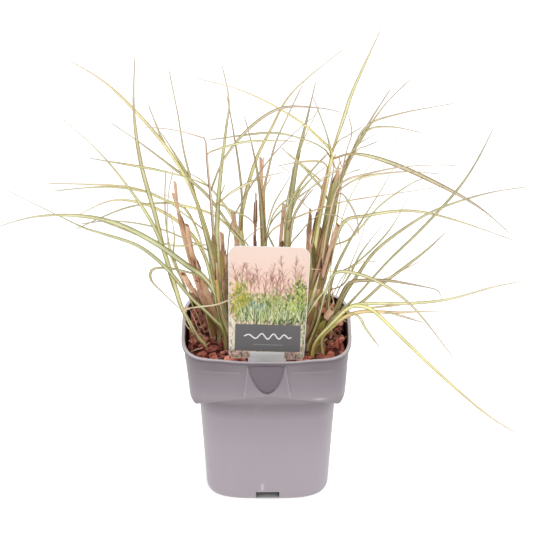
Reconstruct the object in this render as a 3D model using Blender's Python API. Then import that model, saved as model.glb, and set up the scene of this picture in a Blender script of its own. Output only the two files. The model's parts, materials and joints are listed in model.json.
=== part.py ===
"""Potted miscanthus grass clump: square nursery pot, root ball, bark mulch, plant label, cut canes
and leafy shoots. Metres, +Z up, origin at the middle of the pot's foot, label towards -Y."""

import math

import bmesh
import bpy
from mathutils import Vector
from mathutils.kdtree import KDTree

MM = 0.001
GAP = 0.4  # clearance between neighbouring pieces

# Pot: half widths of its square plan, in millimetres
POT_HEIGHT = 163.0
RIM_HALF = 85.9
COLLAR_TOP_HALF = 83.0
COLLAR_FOOT_HALF = 77.6
BODY_TOP_HALF = 69.6
FOOT_HALF = 62.0
WALL = 1.6
LIP_DROP = 4.5
COLLAR_FOOT_CORNER = 110.0
COLLAR_FOOT_SIDE = 122.0
COLLAR_STEP = 2.6
COLLAR_ARCH = COLLAR_FOOT_SIDE - COLLAR_FOOT_CORNER
STEP_TOP = COLLAR_FOOT_CORNER + COLLAR_STEP
WAIST = 55.0  # height of the one ring between foot and collar
FLOOR_UNDER = 8.8
FLOOR_TOP = 10.8
FLOOR_CORNER = 6.0  # height of the sloped corner between floor and wall
FOOT_RIM = 3.0  # width of the edge that the pot stands on
FOOT_NOTCH_HALF = 11.8
FOOT_NOTCH_SHIFT = 1.1  # the front and back notches sit a little off the middle
FOOT_NOTCH_HEIGHT = 7.5
DRAIN_HOLES = 8
DRAIN_CIRCLE = 40.0
DRAIN_RADIUS = 5.0
RIM_SQUARENESS = 4.4
COLLAR_SQUARENESS = 5.6  # at the collar's lower edge
BODY_SQUARENESS = 4.1  # at the body's upper edge
FOOT_SQUARENESS = 3.6
PLAN_POINTS = 36
CORNER_CROWDING = 0.12

# Label holder moulded on the front of the collar: a raised tab, a tongue-shaped recess, two notches
TAB_TOP = 159.6
TAB_FOOT = 124.5
TAB_TOP_HALF = 20.0
TAB_FOOT_HALF = 25.2
TAB_PROUD = 1.3
TONGUE_TOP = 157.6
TONGUE_FOOT = 130.0
TONGUE_HALF = 17.6
TONGUE_DEPTH = 0.2  # below the collar's own face
TONGUE_NOSE = 1.4  # above 1 makes the nose of the tongue more pointed
NOTCH_SPAN = (13.4, 16.4)
NOTCH_FOOT = 154.2
NOTCH_TOP = 157.0

# Root ball, mulch and crown
SOIL_TOP = 138.0
MULCH_TOP = 150.0
SOCKET_DEPTH = 10.0
SOIL_CLEARANCE = 0.6
SOCKET_SIDES = 4
SOCKET_FIT = 1.45  # a socket's radius over its stem's
MULCH_WAVE = 0.9
MULCH_DROP = 2.2  # how far the mulch falls towards the pot's wall
MULCH_BANK = 9.5  # how far it is heaped up against the back wall
BANK_BACK = (0.1, 0.7)  # where the heap sets in and over how much it grows, as sines of the bearing
BANK_LEFT = (0.35, 0.5)
BANK_TO_FRONT = (-0.35, 0.6)
BANK_LEFT_SHARE = 0.62
BANK_RIGHT_LOSS = 0.45
STEM_FOOT = SOIL_TOP - SOCKET_DEPTH + GAP
COLLAR_HEIGHT = MULCH_TOP + 2.0  # up to here every stem stands upright
TUFTS = [(-39.0, 8.0, 22.0, 32.0), (6.0, 42.0, 30.0, 22.0), (44.0, -5.0, 26.0, 36.0)]
TUFT_SIDES = 12

# Label: one punched sheet, card above and stake below, leaning back
LABEL_FOOT = (0.0, -69.5, 161.0)
LABEL_LEAN = math.radians(9.0)
LABEL_TURN = math.radians(-1.6)  # it also leans a little to the right, about the middle of its stake
CARD_HEIGHT = 115.8
CARD_TOP_HALF = 40.3
CARD_FOOT_HALF = 37.1
CARD_MIDDLE = -0.65
CARD_ROUNDING = 10.0
STAKE_HALF = 18.8
STAKE_LENGTH = 36.0
CARD_THICKNESS = 0.8
CARD_CHAMFER = 3.0

# The front drawing that the leaves are laid out on: a 533 mm square sheet, seen 24.2 degrees from
# above and 3 m away. Places on it are millimetres from its left edge and down from its top edge.
SIGHT_ANGLE = math.radians(24.2)
SIGHT_DISTANCE = 3000.0
SHEET_MIDDLE = (266.6, 266.5)
AIM_HEIGHT = 229.6

# Grass
SHEATH_HALF = 2.1
LEAF_THICKNESS = 0.9
TIP_HALF = 0.45
NODE_HALF = 1.2  # a stem is at least this thick where a leaf leaves it
LEAF_SEGMENT = 40.0
FEWEST_SEGMENTS = 4
MOST_SEGMENTS = 8
STRAND_SAMPLES = 56
CURVE_STEPS = 12  # points between two neighbours of a drawn line
FEET_SPACING = 0.6
STRAND_SPACING = 1.3
SETTLING_ROUNDS = 80
CLEARING_ROUNDS = 60
CLEARING_REACH = 24.0  # how far along a leaf a push is felt
CLEARING_SEARCH = 9.0
DEPTH_EASE = 1.4  # above 1 keeps a leaf near its foot's depth for longer
ROOTED_SAMPLES = 14.0  # over this many samples a leaf is held by its stem
STEM_HELD = (4.0, 45.0)  # a stem is held fast below the first height over the mulch, free above both
CLEARED = 0.05
FULL_WIDTH_AT = 0.35  # share of its length where a blade is widest
BLADE_START = 0.68  # a blade's width where it starts, as a share of its widest
TAPER_CURVE = 1.9
SHEATH_FADES = (0.12, 0.3)  # start and span, as shares of a stem's length
STEM_FLATTENS = (0.1, 0.3)
CULM_ENDS = 0.06  # the share of its length over which a jointed stem gives way to its last leaf
BLADE_CROWN = 1.2  # the ridge of a leaf's section over its half thickness
BLADE_EDGE = 0.3
FACE_BACK = 0.45
FACE_FRONT = 0.55
FACE_UP = 0.75
CANE_TAPER = 0.12
CANE_SLANT = 0.8
CANE_SIDES = 6
CANE_SHARES = (0.4, 0.7, 1.0)
CANE_STIFFNESS = 0.35


# ---------------------------------------------------------------------------------- layout data
# Each shoot: foot (x, y) on the crown, then its leaves. The first leaf carries on from the stem and
# the others leave it beside their first point. A leaf: (half width, depth of its tip, points on the
# front drawing from base to tip).
SHOOTS = {
    "rim": ((-62, -18), [
        (2.4, -5, [(198, 338), (190, 323), (181, 306), (172, 277), (155, 229), (127, 186), (96, 149),
                   (55, 112)]),
        (2.2, 60, [(181, 306), (170, 275), (156, 218), (141, 163), (134, 110), (135, 52)]),
        (2.0, -108, [(185, 309), (199, 307), (215, 305), (229, 300), (248, 290)]),
    ]),
    "left_tall": ((-40, 22), [
        (3.0, 95, [(220, 300), (214, 262), (204, 224), (188, 183), (165, 146), (134, 110), (103, 81),
                   (62, 56)]),
        (1.2, 20, [(212, 255), (196, 244), (166, 231), (140, 224), (110, 221), (79, 224)]),
    ]),
    "left_wide": ((-41, 4), [
        (2.8, 30, [(219, 290), (213, 262), (206, 235), (199, 212), (187, 178)]),
        (1.4, -10, [(205, 230), (185, 215), (164, 199), (140, 191), (103, 187), (52, 191)]),
    ]),
    "left_low": ((-46, 0), [
        (3.0, -90, [(219, 305), (205, 279), (186, 265), (155, 243), (117, 224), (79, 216), (34, 217),
                    (-13, 230)]),
        (1.6, -75, [(211, 287), (198, 276), (182, 271), (165, 268), (152, 270), (151, 280), (162, 292),
                    (180, 309)]),
    ]),
    "left_kinked": ((-40, -20), [
        (2.1, -100, [(222, 329), (212, 318), (203, 309), (195, 302), (186, 292), (165, 267), (138, 246),
                    (103, 234), (84, 228), (55, 214), (0, 187)]),
    ]),
    "left_arching": ((-44, 30), [
        (1.8, 130, [(215, 300), (207, 262), (193, 236), (170, 216), (141, 203), (110, 201), (74, 217)]),
        (1.4, 90, [(207, 262), (196, 228), (181, 206), (150, 204), (120, 210), (74, 230)]),
    ]),
    "left_culm": ((-36, -6), [
        (1.6, 10, [(221, 310), (215, 250), (211, 200), (208.5, 175), (206.8, 155), (205.3, 140),
                   (200, 137), (179, 131), (158, 128), (138, 127)]),
        (1.5, -50, [(207, 155), (213, 151), (234, 144.6), (251, 141.5), (284, 141), (313, 144)]),
        (1.6, 60, [(210, 192), (225, 158), (252, 126), (282, 108), (319, 108), (344, 113)]),
        (1.6, -60, [(209, 186), (191, 179), (165, 172), (141, 167), (88, 158)]),
    ]),
    "left_upright": ((-33, 14), [
        (2.5, 60, [(222, 315), (219, 270), (217, 227), (220, 180), (226, 129), (229, 100), (221, 60)]),
        (1.4, 90, [(218, 204), (231, 193), (247, 184), (264, 177), (285, 172)]),
        (1.3, -40, [(218, 250), (205, 245), (175, 246), (146, 238), (117, 227), (101, 221)]),
    ]),
    "left_slender": ((-44, 44), [
        (1.6, 150, [(217, 300), (208, 245), (196, 200), (184, 152), (178, 115), (168, 65)]),
        (1.4, 175, [(190, 178), (172, 156), (163, 141), (148, 104)]),
        (1.5, 95, [(197, 204), (187, 175), (176, 156), (161, 132)]),
    ]),
    "left_leaning": ((-28, -8), [
        (1.9, -110, [(227, 310), (227, 265), (231, 226), (245, 197), (264, 167), (287, 140),
                     (319, 112)]),
    ]),
    "left_front": ((-35, -22), [
        (2.0, -177.9, [(221, 318), (214, 290), (206, 258), (196, 228), (176, 200), (150, 192)]),
    ]),
    "mid_arching": ((-14, 60), [
        (2.4, 140, [(255, 290), (245, 255), (241, 225), (245, 199), (256, 161), (271, 130), (294, 91),
                    (351, 43)]),
        (1.3, 80, [(242, 228), (242, 205), (240.5, 180), (236, 147), (230, 112), (227, 95)]),
    ]),
    "mid_left_sweep": ((-16, 42), [
        (2.0, 60, [(252, 290), (247, 258), (236, 236), (222, 221), (203, 211), (172, 203), (127, 187),
                   (41, 183)]),
        (1.6, 110, [(249, 262), (240, 236), (228, 223), (204, 192), (172, 167), (139, 142),
                    (107, 120)]),
    ]),
    "mid_upright": ((-4, 48), [
        (2.5, 70, [(264, 285), (264, 246), (261, 203), (256, 165), (249, 133), (243, 112)]),
        (1.2, 30, [(264, 240), (274, 205), (290, 176), (283, 168), (277, 163)]),
    ]),
    "mid_back": ((6, 66), [
        (1.4, 165, [(268, 290), (266, 245), (264, 196), (268, 172), (275, 145), (282, 128), (304, 82)]),
    ]),
    "mid_right_wide": ((16, 50), [
        (3.0, 110, [(283, 290), (287, 245), (291, 203), (297, 162), (305, 128), (317, 77)]),
        (1.3, 70, [(298, 158), (304, 140), (309, 128), (319, 108)]),
    ]),
    "mid_right_back": ((26, 62), [
        (2.2, 150, [(285, 290), (288, 235), (296, 195), (311, 172), (331, 151)]),
        (1.5, 110, [(291, 215), (298, 195), (305, 186), (314, 176.5), (327, 166)]),
    ]),
    "mid_folded": ((0, 30), [
        (2.2, -60, [(266, 295), (266, 250), (271, 223), (290, 204), (313, 187), (342, 168)]),
        (1.4, -20, [(266, 245), (272, 218), (284, 202), (297, 198), (310, 210)]),
    ]),
    "mid_bowed": ((18, 34), [
        (2.0, -62, [(284, 295), (289, 250), (299, 234), (316, 217), (334, 215), (348, 224),
                    (357, 238)]),
        (1.5, 20, [(289, 246), (294, 217), (309, 191), (326, 175)]),
    ]),
    "mid_straw": ((6, 44), [
        (1.9, -42, [(266, 290), (264, 252), (271, 232), (287, 222), (313, 211), (339, 203), (366, 198),
                    (447, 186)]),
    ]),
    "mid_far_left": ((-22, 60), [
        (2.3, 178, [(250, 290), (244, 250), (230, 214), (206, 184), (180, 168)]),
    ]),
    "right_culm": ((37, 6), [
        (2.0, 60, [(306, 320), (313, 262), (318, 228), (323, 202), (327, 182), (330, 165), (332, 152),
                   (324, 143), (296, 119), (243, 91), (186, 76)]),
        (1.5, 20, [(331, 158), (324, 149), (305, 140), (269, 133), (208, 140)]),
        (1.9, 95, [(332, 154), (344, 118), (354, 89), (382, 27)]),
        (1.2, -15, [(332, 158), (326, 132), (312, 95)]),
        (2.2, -60, [(332, 160), (356, 154), (394, 164), (442, 186), (480, 208), (513, 236)]),
    ]),
    "right_purple": ((40, -10), [
        (1.8, -40, [(316, 315), (323, 260), (331, 215), (341, 184), (372, 173), (404, 167), (442, 165),
                    (468, 167)]),
        (1.6, -85, [(337, 194), (358, 179), (390, 173), (416, 172), (440, 174)]),
        (1.0, -75, [(336, 196), (341.4, 193.3), (347.7, 200.4), (353.3, 210), (357.5, 221),
                    (359, 236)]),
    ]),
    "right_tan": ((46, 14), [
        (2.0, 80, [(318, 315), (323, 265), (331, 225), (345, 168), (360, 142), (384, 106), (415, 75)]),
        (1.2, 130, [(350, 158), (366, 127), (399, 114), (456, 103)]),
        (1.5, 20, [(347, 166), (366, 132), (391, 127), (423, 133)]),
        (1.2, 160, [(341, 180), (364, 132), (391, 88)]),
    ]),
    "right_purple_tip": ((34, 22), [
        (1.5, 40, [(305, 315), (315, 265), (325, 225), (340, 180), (347, 150), (352, 132), (347, 110)]),
        (1.5, -20, [(344, 166), (356, 146), (377, 133)]),
        (1.3, 60, [(330, 205), (323, 190), (312, 177), (303, 167), (288, 154), (282, 147)]),
    ]),
    "right_thin": ((48, -16), [
        (1.4, -110, [(326, 315), (332, 260), (343, 217), (354, 190), (373, 163), (409, 131)]),
    ]),
    "right_steep": ((52, 4), [
        (1.9, -20, [(328, 315), (330, 290), (337, 267), (354, 234), (380, 192), (401, 155)]),
        (1.4, -50, [(335, 273), (358, 262), (389, 231), (411, 192)]),
        (1.4, -30, [(333, 290), (342, 285.6), (351, 273), (362, 252), (384, 223)]),
    ]),
    "right_big": ((54, -10), [
        (3.2, -70, [(323, 330), (337, 316), (350, 303), (366, 286), (390, 260), (420, 231), (456, 192),
                    (477, 161), (496, 123)]),
        (2.3, 46, [(343, 311), (361, 303), (383, 284), (404, 268), (428, 249), (447, 231)]),
    ]),
    "right_far": ((56, 14), [
        (2.4, 60, [(328, 324), (338, 308), (347, 291), (358, 275), (377, 250), (413, 223), (444, 207),
                   (489, 193), (533, 186)]),
    ]),
    "right_bowed": ((44, 32), [
        (2.0, 100, [(315, 312), (326, 275), (342, 225), (366, 216), (409, 211), (451, 219),
                    (519, 242)]),
        (1.3, 160, [(335, 245), (352, 237), (380, 206), (409, 185), (424, 178)]),
    ]),
    "right_hooked": ((44, -30), [
        (1.8, -150, [(318, 322), (326, 292), (336, 273), (358, 274), (384, 285), (415, 309),
                     (456, 361)]),
    ]),
    "right_broken": ((60, 2), [
        (2.2, -20, [(332, 318), (341, 297), (350, 283), (367, 280.5), (390, 281), (420, 286),
                    (438, 290.5), (442, 300)]),
        (1.2, 20, [(372, 281), (387, 279), (401, 271), (421, 261)]),
    ]),
    "right_level": ((57, -20), [
        (2.5, -10, [(320, 336), (332, 323), (344, 311), (355, 305), (373, 303.4), (408, 303.4),
                    (448, 299.4), (494, 287), (528, 280)]),
        (1.4, -70, [(352, 306), (366, 308), (390, 306), (409, 304.5)]),
    ]),
    "right_short": ((56, -34), [
        (2.1, -66, [(323, 337), (336, 324), (348, 315.5), (364, 311.6), (380, 312), (399, 312.7),
                    (423, 311.6), (448, 311)]),
        (1.2, -85, [(384, 312), (401, 316), (424, 323)]),
    ]),
    "right_drooping": ((46, -40), [
        (2.7, -120, [(317, 341), (331, 325), (345, 311), (354, 306), (366, 307), (374, 311),
                     (384, 320), (409, 344.5), (441, 375), (485, 413), (522, 437)]),
        (1.8, -130, [(347, 310), (359, 317), (366, 329), (380, 348)]),
    ]),
    "right_stubby": ((38, -24), [
        (3.2, -75, [(303, 328), (307, 313), (312, 299), (320, 272)]),
        (1.8, -115, [(305, 320), (315, 303), (324, 292), (333, 285)]),
    ]),
}

# Shoots with a round jointed stem: its half thickness, and the share of its length where it ends
CULMS = {
    "left_culm": (1.15, 0.72),
    "right_culm": (1.7, 0.55),
    "right_purple": (1.5, 0.52),
    "right_tan": (1.4, 0.5),
    "right_purple_tip": (1.3, 0.7),
}

# Each old cane: foot (x, y), half thickness, depth of its cut top, points on the front drawing
CANES = [
    ((-42, 2), 2.7, -18, [(217, 318), (204, 285), (193, 256), (187, 225)]),
    ((-55, 16), 1.9, 34, [(202, 300), (187, 250), (179, 216), (175, 182)]),
    ((-52, 28), 1.8, 60, [(206, 300), (193, 262), (182, 223), (173, 193)]),
    ((-51, 1), 3.4, -30, [(208, 320), (196, 297), (183, 274)]),
    ((-46, 14), 2.5, 8, [(213, 320), (205, 302), (197, 281)]),
    ((-36, 38), 2.6, 50, [(226, 310), (224, 270), (222, 233)]),
    ((-27, 4), 2.3, 0, [(231, 320), (228, 285), (226, 255)]),
    ((-24, 32), 2.7, 40, [(243, 310), (239, 262), (233, 211)]),
    ((14, 18), 2.2, 24, [(279, 310), (280, 255), (284, 204)]),
    ((-8, 74), 2.2, 82, [(262, 280), (262, 210), (261, 158)]),
    ((-12, 24), 1.0, 20, [(256, 310), (255, 250), (256, 193)]),
    ((30, 16), 2.9, 26, [(306, 314), (311.5, 268), (316, 246), (320.5, 227)]),
    ((36, -16), 3.0, -40, [(309, 320), (318, 291), (325, 268), (331, 248), (338, 225)]),
    ((50, -28), 3.8, -44, [(317, 333), (324, 321), (332, 309)]),
    ((29, 6), 2.4, 34, [(303, 318), (310, 262), (316, 228), (321, 203), (325, 185), (328.5, 169)]),
    ((38, 14), 2.4, 24, [(310, 318), (319, 262), (326, 228), (331, 203), (335, 184), (338.5, 170)]),
    ((31, -4), 2.4, -8, [(305, 322), (314, 284), (321, 262), (325, 243), (328.5, 226)]),
    ((22, 36), 1.7, 38, [(302, 300), (307.5, 250), (310.5, 209)]),
]


# ---------------------------------------------------------------------------------- helpers
def clear_scene():
    for thing in list(bpy.data.objects):
        bpy.data.objects.remove(thing, do_unlink=True)


def new_collection(name):
    collection = bpy.data.collections.new(name)
    bpy.context.scene.collection.children.link(collection)
    return collection


def material(name, colour, roughness):
    made = bpy.data.materials.new(name)
    made.use_nodes = True
    shader = made.node_tree.nodes["Principled BSDF"]
    shader.inputs["Base Color"].default_value = (*colour, 1.0)
    shader.inputs["Roughness"].default_value = roughness
    made.diffuse_color = (*colour, 1.0)
    return made


def object_from(bm, name, collection, look=None, smooth=False):
    bmesh.ops.recalc_face_normals(bm, faces=bm.faces)
    if bm.calc_volume(signed=True) < 0.0:
        bmesh.ops.reverse_faces(bm, faces=bm.faces)
    bmesh.ops.scale(bm, vec=(MM, MM, MM), verts=bm.verts)
    mesh = bpy.data.meshes.new(name)
    bm.to_mesh(mesh)
    bm.free()
    if smooth:
        mesh.shade_smooth()
        mesh.set_sharp_from_angle(angle=math.radians(35))
    made = bpy.data.objects.new(name, mesh)
    if look:
        mesh.materials.append(look)
    collection.objects.link(made)
    return made


def as_cutter(thing):
    thing.hide_render = True
    thing.display_type = "WIRE"
    return thing


def boolean(thing, other, operation, solver="EXACT"):
    modifier = thing.modifiers.new(f"{operation.lower()}_{other.name}", "BOOLEAN")
    modifier.operation = operation
    modifier.solver = solver
    modifier.object = other


def mix(a, b, share):
    return a + (b - a) * share


def ease(share):
    share = min(max(share, 0.0), 1.0)
    return share * share * (3.0 - 2.0 * share)


def setting_in(value, span):
    """0 before the span's start, 1 once its width is past, and an easy rise between."""
    start, width = span
    return ease((value - start) / width)


def skin(bm, rings, closed_ends=True):
    """Quads between rings of equally many points, and a face over each end."""
    loops = [[bm.verts.new(point) for point in ring] for ring in rings]
    count = len(loops[0])
    for below, above in zip(loops, loops[1:]):
        for i in range(count):
            j = (i + 1) % count
            bm.faces.new((below[i], below[j], above[j], above[i]))
    if closed_ends:
        bm.faces.new(loops[0][::-1])
        bm.faces.new(loops[-1])
    return loops


# ---------------------------------------------------------------------------------- pot
def plan_angles():
    quarter = PLAN_POINTS // 4
    for side in range(4):
        for step in range(quarter):
            share = step / quarter
            yield (side + share) * math.pi / 2 + CORNER_CROWDING * math.sin(2 * math.pi * share)


def plan_radius(half, squareness, angle):
    reach = abs(math.cos(angle)) ** squareness + abs(math.sin(angle)) ** squareness
    return half / reach ** (1.0 / squareness)


def corner_share(angle):
    """0 at the middle of a side, 1 at a corner, rising steadily and then fast."""
    near, far = sorted((abs(math.cos(angle)), abs(math.sin(angle))))
    share = near / far
    return 0.78 * share + 0.22 * share ** 8


def squareness_at(half, height):
    """The body and the collar each have corners of their own, which change on the way up."""
    if half > BODY_TOP_HALF or height > STEP_TOP + 1.0:
        share = (height - COLLAR_FOOT_CORNER) / (POT_HEIGHT - COLLAR_FOOT_CORNER)
        return mix(COLLAR_SQUARENESS, RIM_SQUARENESS, share)
    return mix(FOOT_SQUARENESS, BODY_SQUARENESS, height / COLLAR_FOOT_CORNER)


def plan_ring(half, height, rise=0.0):
    """A bowed square ring; rise lifts it along the arched lower edge of the collar."""
    ring = []
    for angle in plan_angles():
        lift = rise * (1.0 - corner_share(angle))
        radius = plan_radius(half, squareness_at(half, height), angle)
        ring.append((radius * math.cos(angle), radius * math.sin(angle), height + lift))
    return ring


def body_half(height):
    return mix(FOOT_HALF, BODY_TOP_HALF, height / COLLAR_FOOT_CORNER)


def collar_half(height):
    share = (height - COLLAR_FOOT_CORNER) / (POT_HEIGHT - COLLAR_FOOT_CORNER)
    return mix(COLLAR_FOOT_HALF, COLLAR_TOP_HALF, share)


def pot_outside():
    """The outer skin from the foot up over the lip; the small steps round its edges off."""
    lip = POT_HEIGHT - LIP_DROP
    return [
        plan_ring(FOOT_HALF - 0.8, 0.0),
        plan_ring(body_half(2.0) + 0.2, 1.2),
        plan_ring(body_half(WAIST), WAIST),
        plan_ring(BODY_TOP_HALF, COLLAR_FOOT_CORNER, COLLAR_ARCH),
        plan_ring(COLLAR_FOOT_HALF - 0.5, COLLAR_FOOT_CORNER - 0.2, COLLAR_ARCH),
        plan_ring(COLLAR_FOOT_HALF, COLLAR_FOOT_CORNER + 1.0, COLLAR_ARCH),
        plan_ring(collar_half(lip), lip - 1.2),
        plan_ring(RIM_HALF - 0.3, lip),
        plan_ring(RIM_HALF, lip + 1.0),
        plan_ring(RIM_HALF - 0.3, POT_HEIGHT - 0.6),
        plan_ring(RIM_HALF - 1.0, POT_HEIGHT),
    ]


def pot_inside():
    """The inner skin from the lip down to the floor."""
    return [
        plan_ring(collar_half(POT_HEIGHT) - WALL + 1.0, POT_HEIGHT),
        plan_ring(collar_half(POT_HEIGHT - 3.0) - WALL, POT_HEIGHT - 3.0),
        plan_ring(collar_half(STEP_TOP) - WALL, STEP_TOP, COLLAR_ARCH),
        plan_ring(BODY_TOP_HALF - WALL, STEP_TOP - 0.6, COLLAR_ARCH),
        plan_ring(body_half(WAIST) - WALL, WAIST),
        plan_ring(body_half(FLOOR_TOP + FLOOR_CORNER) - WALL, FLOOR_TOP + FLOOR_CORNER),
        plan_ring(body_half(FLOOR_TOP) - WALL - 4.0, FLOOR_TOP),
    ]


def box_between(low, high, name, collection):
    bm = bmesh.new()
    bmesh.ops.create_cube(bm, size=1.0)
    for vert in bm.verts:
        vert.co = [mix(a, b, c + 0.5) for a, b, c in zip(low, high, vert.co)]
    return as_cutter(object_from(bm, name, collection))


def tongue_outline(points=9):
    """A round-nosed tongue hanging from its straight top edge."""
    outline = []
    for i in range(points):
        turn = math.pi * i / (points - 1)
        drop = max(0.0, math.sin(turn)) ** TONGUE_NOSE
        outline.append((TONGUE_HALF * math.cos(turn), mix(TONGUE_TOP, TONGUE_FOOT, drop)))
    return outline


def notch_outline(side):
    inner, outer = (side * edge for edge in NOTCH_SPAN)
    return [(inner, NOTCH_TOP), (outer, NOTCH_TOP), (outer, NOTCH_FOOT), (inner, NOTCH_FOOT)]


def collar_front(height, proud):
    return -(collar_half(height) + proud)


def slab_on_collar(outline, front, back, name, collection):
    """A slab along the collar's slope, cut to an outline of (across, height). Its front stands that
    far before the collar's face and its back that far behind it."""
    bm = bmesh.new()
    skin(bm, [[(x, collar_front(z, reach), z) for x, z in outline] for reach in (front, -back)])
    return as_cutter(object_from(bm, name, collection))


def make_pot(parts, cutters, look):
    bm = bmesh.new()
    rings = pot_outside() + pot_inside()
    loops = skin(bm, rings, closed_ends=False)
    bm.faces.new(loops[-1])
    under = [plan_ring(FOOT_HALF - FOOT_RIM, 0.0), plan_ring(FOOT_HALF - FOOT_RIM - 0.4, FLOOR_UNDER)]
    under_loops = skin(bm, under, closed_ends=False)
    for i in range(PLAN_POINTS):
        j = (i + 1) % PLAN_POINTS
        bm.faces.new((loops[0][j], loops[0][i], under_loops[0][i], under_loops[0][j]))
    bm.faces.new(under_loops[-1][::-1])
    pot = object_from(bm, "pot", parts, look, smooth=True)

    tab = [(-TAB_TOP_HALF, TAB_TOP), (TAB_TOP_HALF, TAB_TOP), (TAB_FOOT_HALF, TAB_FOOT),
           (-TAB_FOOT_HALF, TAB_FOOT)]
    boolean(pot, slab_on_collar(tab, TAB_PROUD, WALL + 0.5, "label_tab", cutters), "UNION")
    tongue = slab_on_collar(tongue_outline(), 3.0, TONGUE_DEPTH, "label_tongue", cutters)
    boolean(pot, tongue, "DIFFERENCE")
    for side, name in ((-1, "left_notch"), (1, "right_notch")):
        boolean(pot, slab_on_collar(notch_outline(side), 6.0, 3.0, name, cutters), "DIFFERENCE")
    for name, along in (("foot_notch_across", 0), ("foot_notch_along", 1)):
        shift = FOOT_NOTCH_SHIFT * along
        low = [shift - FOOT_NOTCH_HALF, -FOOT_NOTCH_HALF, -2.0]
        high = [shift + FOOT_NOTCH_HALF, FOOT_NOTCH_HALF, FOOT_NOTCH_HEIGHT]
        low[along] = -RIM_HALF
        high[along] = RIM_HALF
        boolean(pot, box_between(low, high, name, cutters), "DIFFERENCE")
    boolean(pot, drain_drills(cutters), "DIFFERENCE")
    return pot


def drain_drills(cutters):
    bm = bmesh.new()
    for i in range(DRAIN_HOLES):
        angle = math.tau * (i + 0.5) / DRAIN_HOLES
        centre = (DRAIN_CIRCLE * math.cos(angle), DRAIN_CIRCLE * math.sin(angle))
        prism(bm, centre, (DRAIN_RADIUS, DRAIN_RADIUS), FLOOR_UNDER - 2.0, FLOOR_TOP + 2.0, 8)
    return as_cutter(object_from(bm, "drain_drills", cutters))


# ---------------------------------------------------------------------------------- soil and mulch
def prism(bm, centre, radii, low, high, sides):
    """An upright prism inscribed in the ellipse with these two radii."""
    ring = []
    for k in range(sides):
        angle = math.tau * k / sides
        ring.append((centre[0] + radii[0] * math.cos(angle), centre[1] + radii[1] * math.sin(angle)))
    skin(bm, [[(x, y, low) for x, y in ring], [(x, y, high) for x, y in ring]])


def socket(bm, centre, half, low, high, clear=GAP):
    radius = half * SOCKET_FIT + clear
    prism(bm, centre, (radius, radius), low, high, SOCKET_SIDES)


def make_soil(parts, cutters, look, feet):
    clear = WALL + SOIL_CLEARANCE
    corner = FLOOR_TOP + FLOOR_CORNER
    bm = bmesh.new()
    skin(bm, [
        plan_ring(body_half(FLOOR_TOP) - clear - 5.0, FLOOR_TOP + GAP),
        plan_ring(body_half(corner) - clear, corner + 1.0),
        plan_ring(body_half(WAIST) - clear, WAIST),
        plan_ring(BODY_TOP_HALF - clear, COLLAR_FOOT_CORNER, COLLAR_ARCH),
        plan_ring(BODY_TOP_HALF - clear, STEP_TOP + GAP, COLLAR_ARCH),
        plan_ring(collar_half(STEP_TOP) - clear - SOIL_CLEARANCE, STEP_TOP + 3 * GAP, COLLAR_ARCH),
        plan_ring(collar_half(SOIL_TOP) - clear - SOIL_CLEARANCE, SOIL_TOP),
    ])
    soil = object_from(bm, "soil", parts, look)
    bm = bmesh.new()
    for spot, half in feet:
        socket(bm, spot, half, SOIL_TOP - SOCKET_DEPTH, SOIL_TOP + 5.0)
    boolean(soil, as_cutter(object_from(bm, "stem_sockets", cutters)), "DIFFERENCE")
    boolean(soil, label_blade("soil_label_slot", cutters, 1.0, SOIL_TOP - 20.0), "DIFFERENCE")
    return soil


def label_blade(name, cutters, clear, low):
    """The room that the label's stake takes up, open towards the pot's front wall."""
    bm = bmesh.new()
    rings = []
    for height in (low, MULCH_TOP + 12.0):
        lean = (height - LABEL_FOOT[2]) * math.tan(LABEL_LEAN)
        back = LABEL_FOOT[1] + lean + CARD_THICKNESS + clear
        half = STAKE_HALF + clear
        front = -RIM_HALF - 4.0
        plan = [(-half, front), (half, front), (half, back), (-half, back)]
        rings.append([(x, y, height) for x, y in plan])
    skin(bm, rings)
    return as_cutter(object_from(bm, name, cutters))


def mulch_height(x, y):
    waves = math.sin(x * 0.21 + 1.3) * math.cos(y * 0.17 - 0.4) + 0.6 * math.sin(x * 0.09 - y * 0.13)
    return MULCH_TOP + MULCH_WAVE * waves


def bank_height(x, y):
    """The heap against the wall: highest at the back, lower round to the left, none elsewhere."""
    reach = math.hypot(x, y)
    back, left = y / reach, -x / reach
    behind = setting_in(back, BANK_BACK) * (1.0 - BANK_RIGHT_LOSS * ease(-left))
    beside = setting_in(left, BANK_LEFT) * setting_in(back, BANK_TO_FRONT) * BANK_LEFT_SHARE
    return MULCH_BANK * max(behind, beside)


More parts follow.
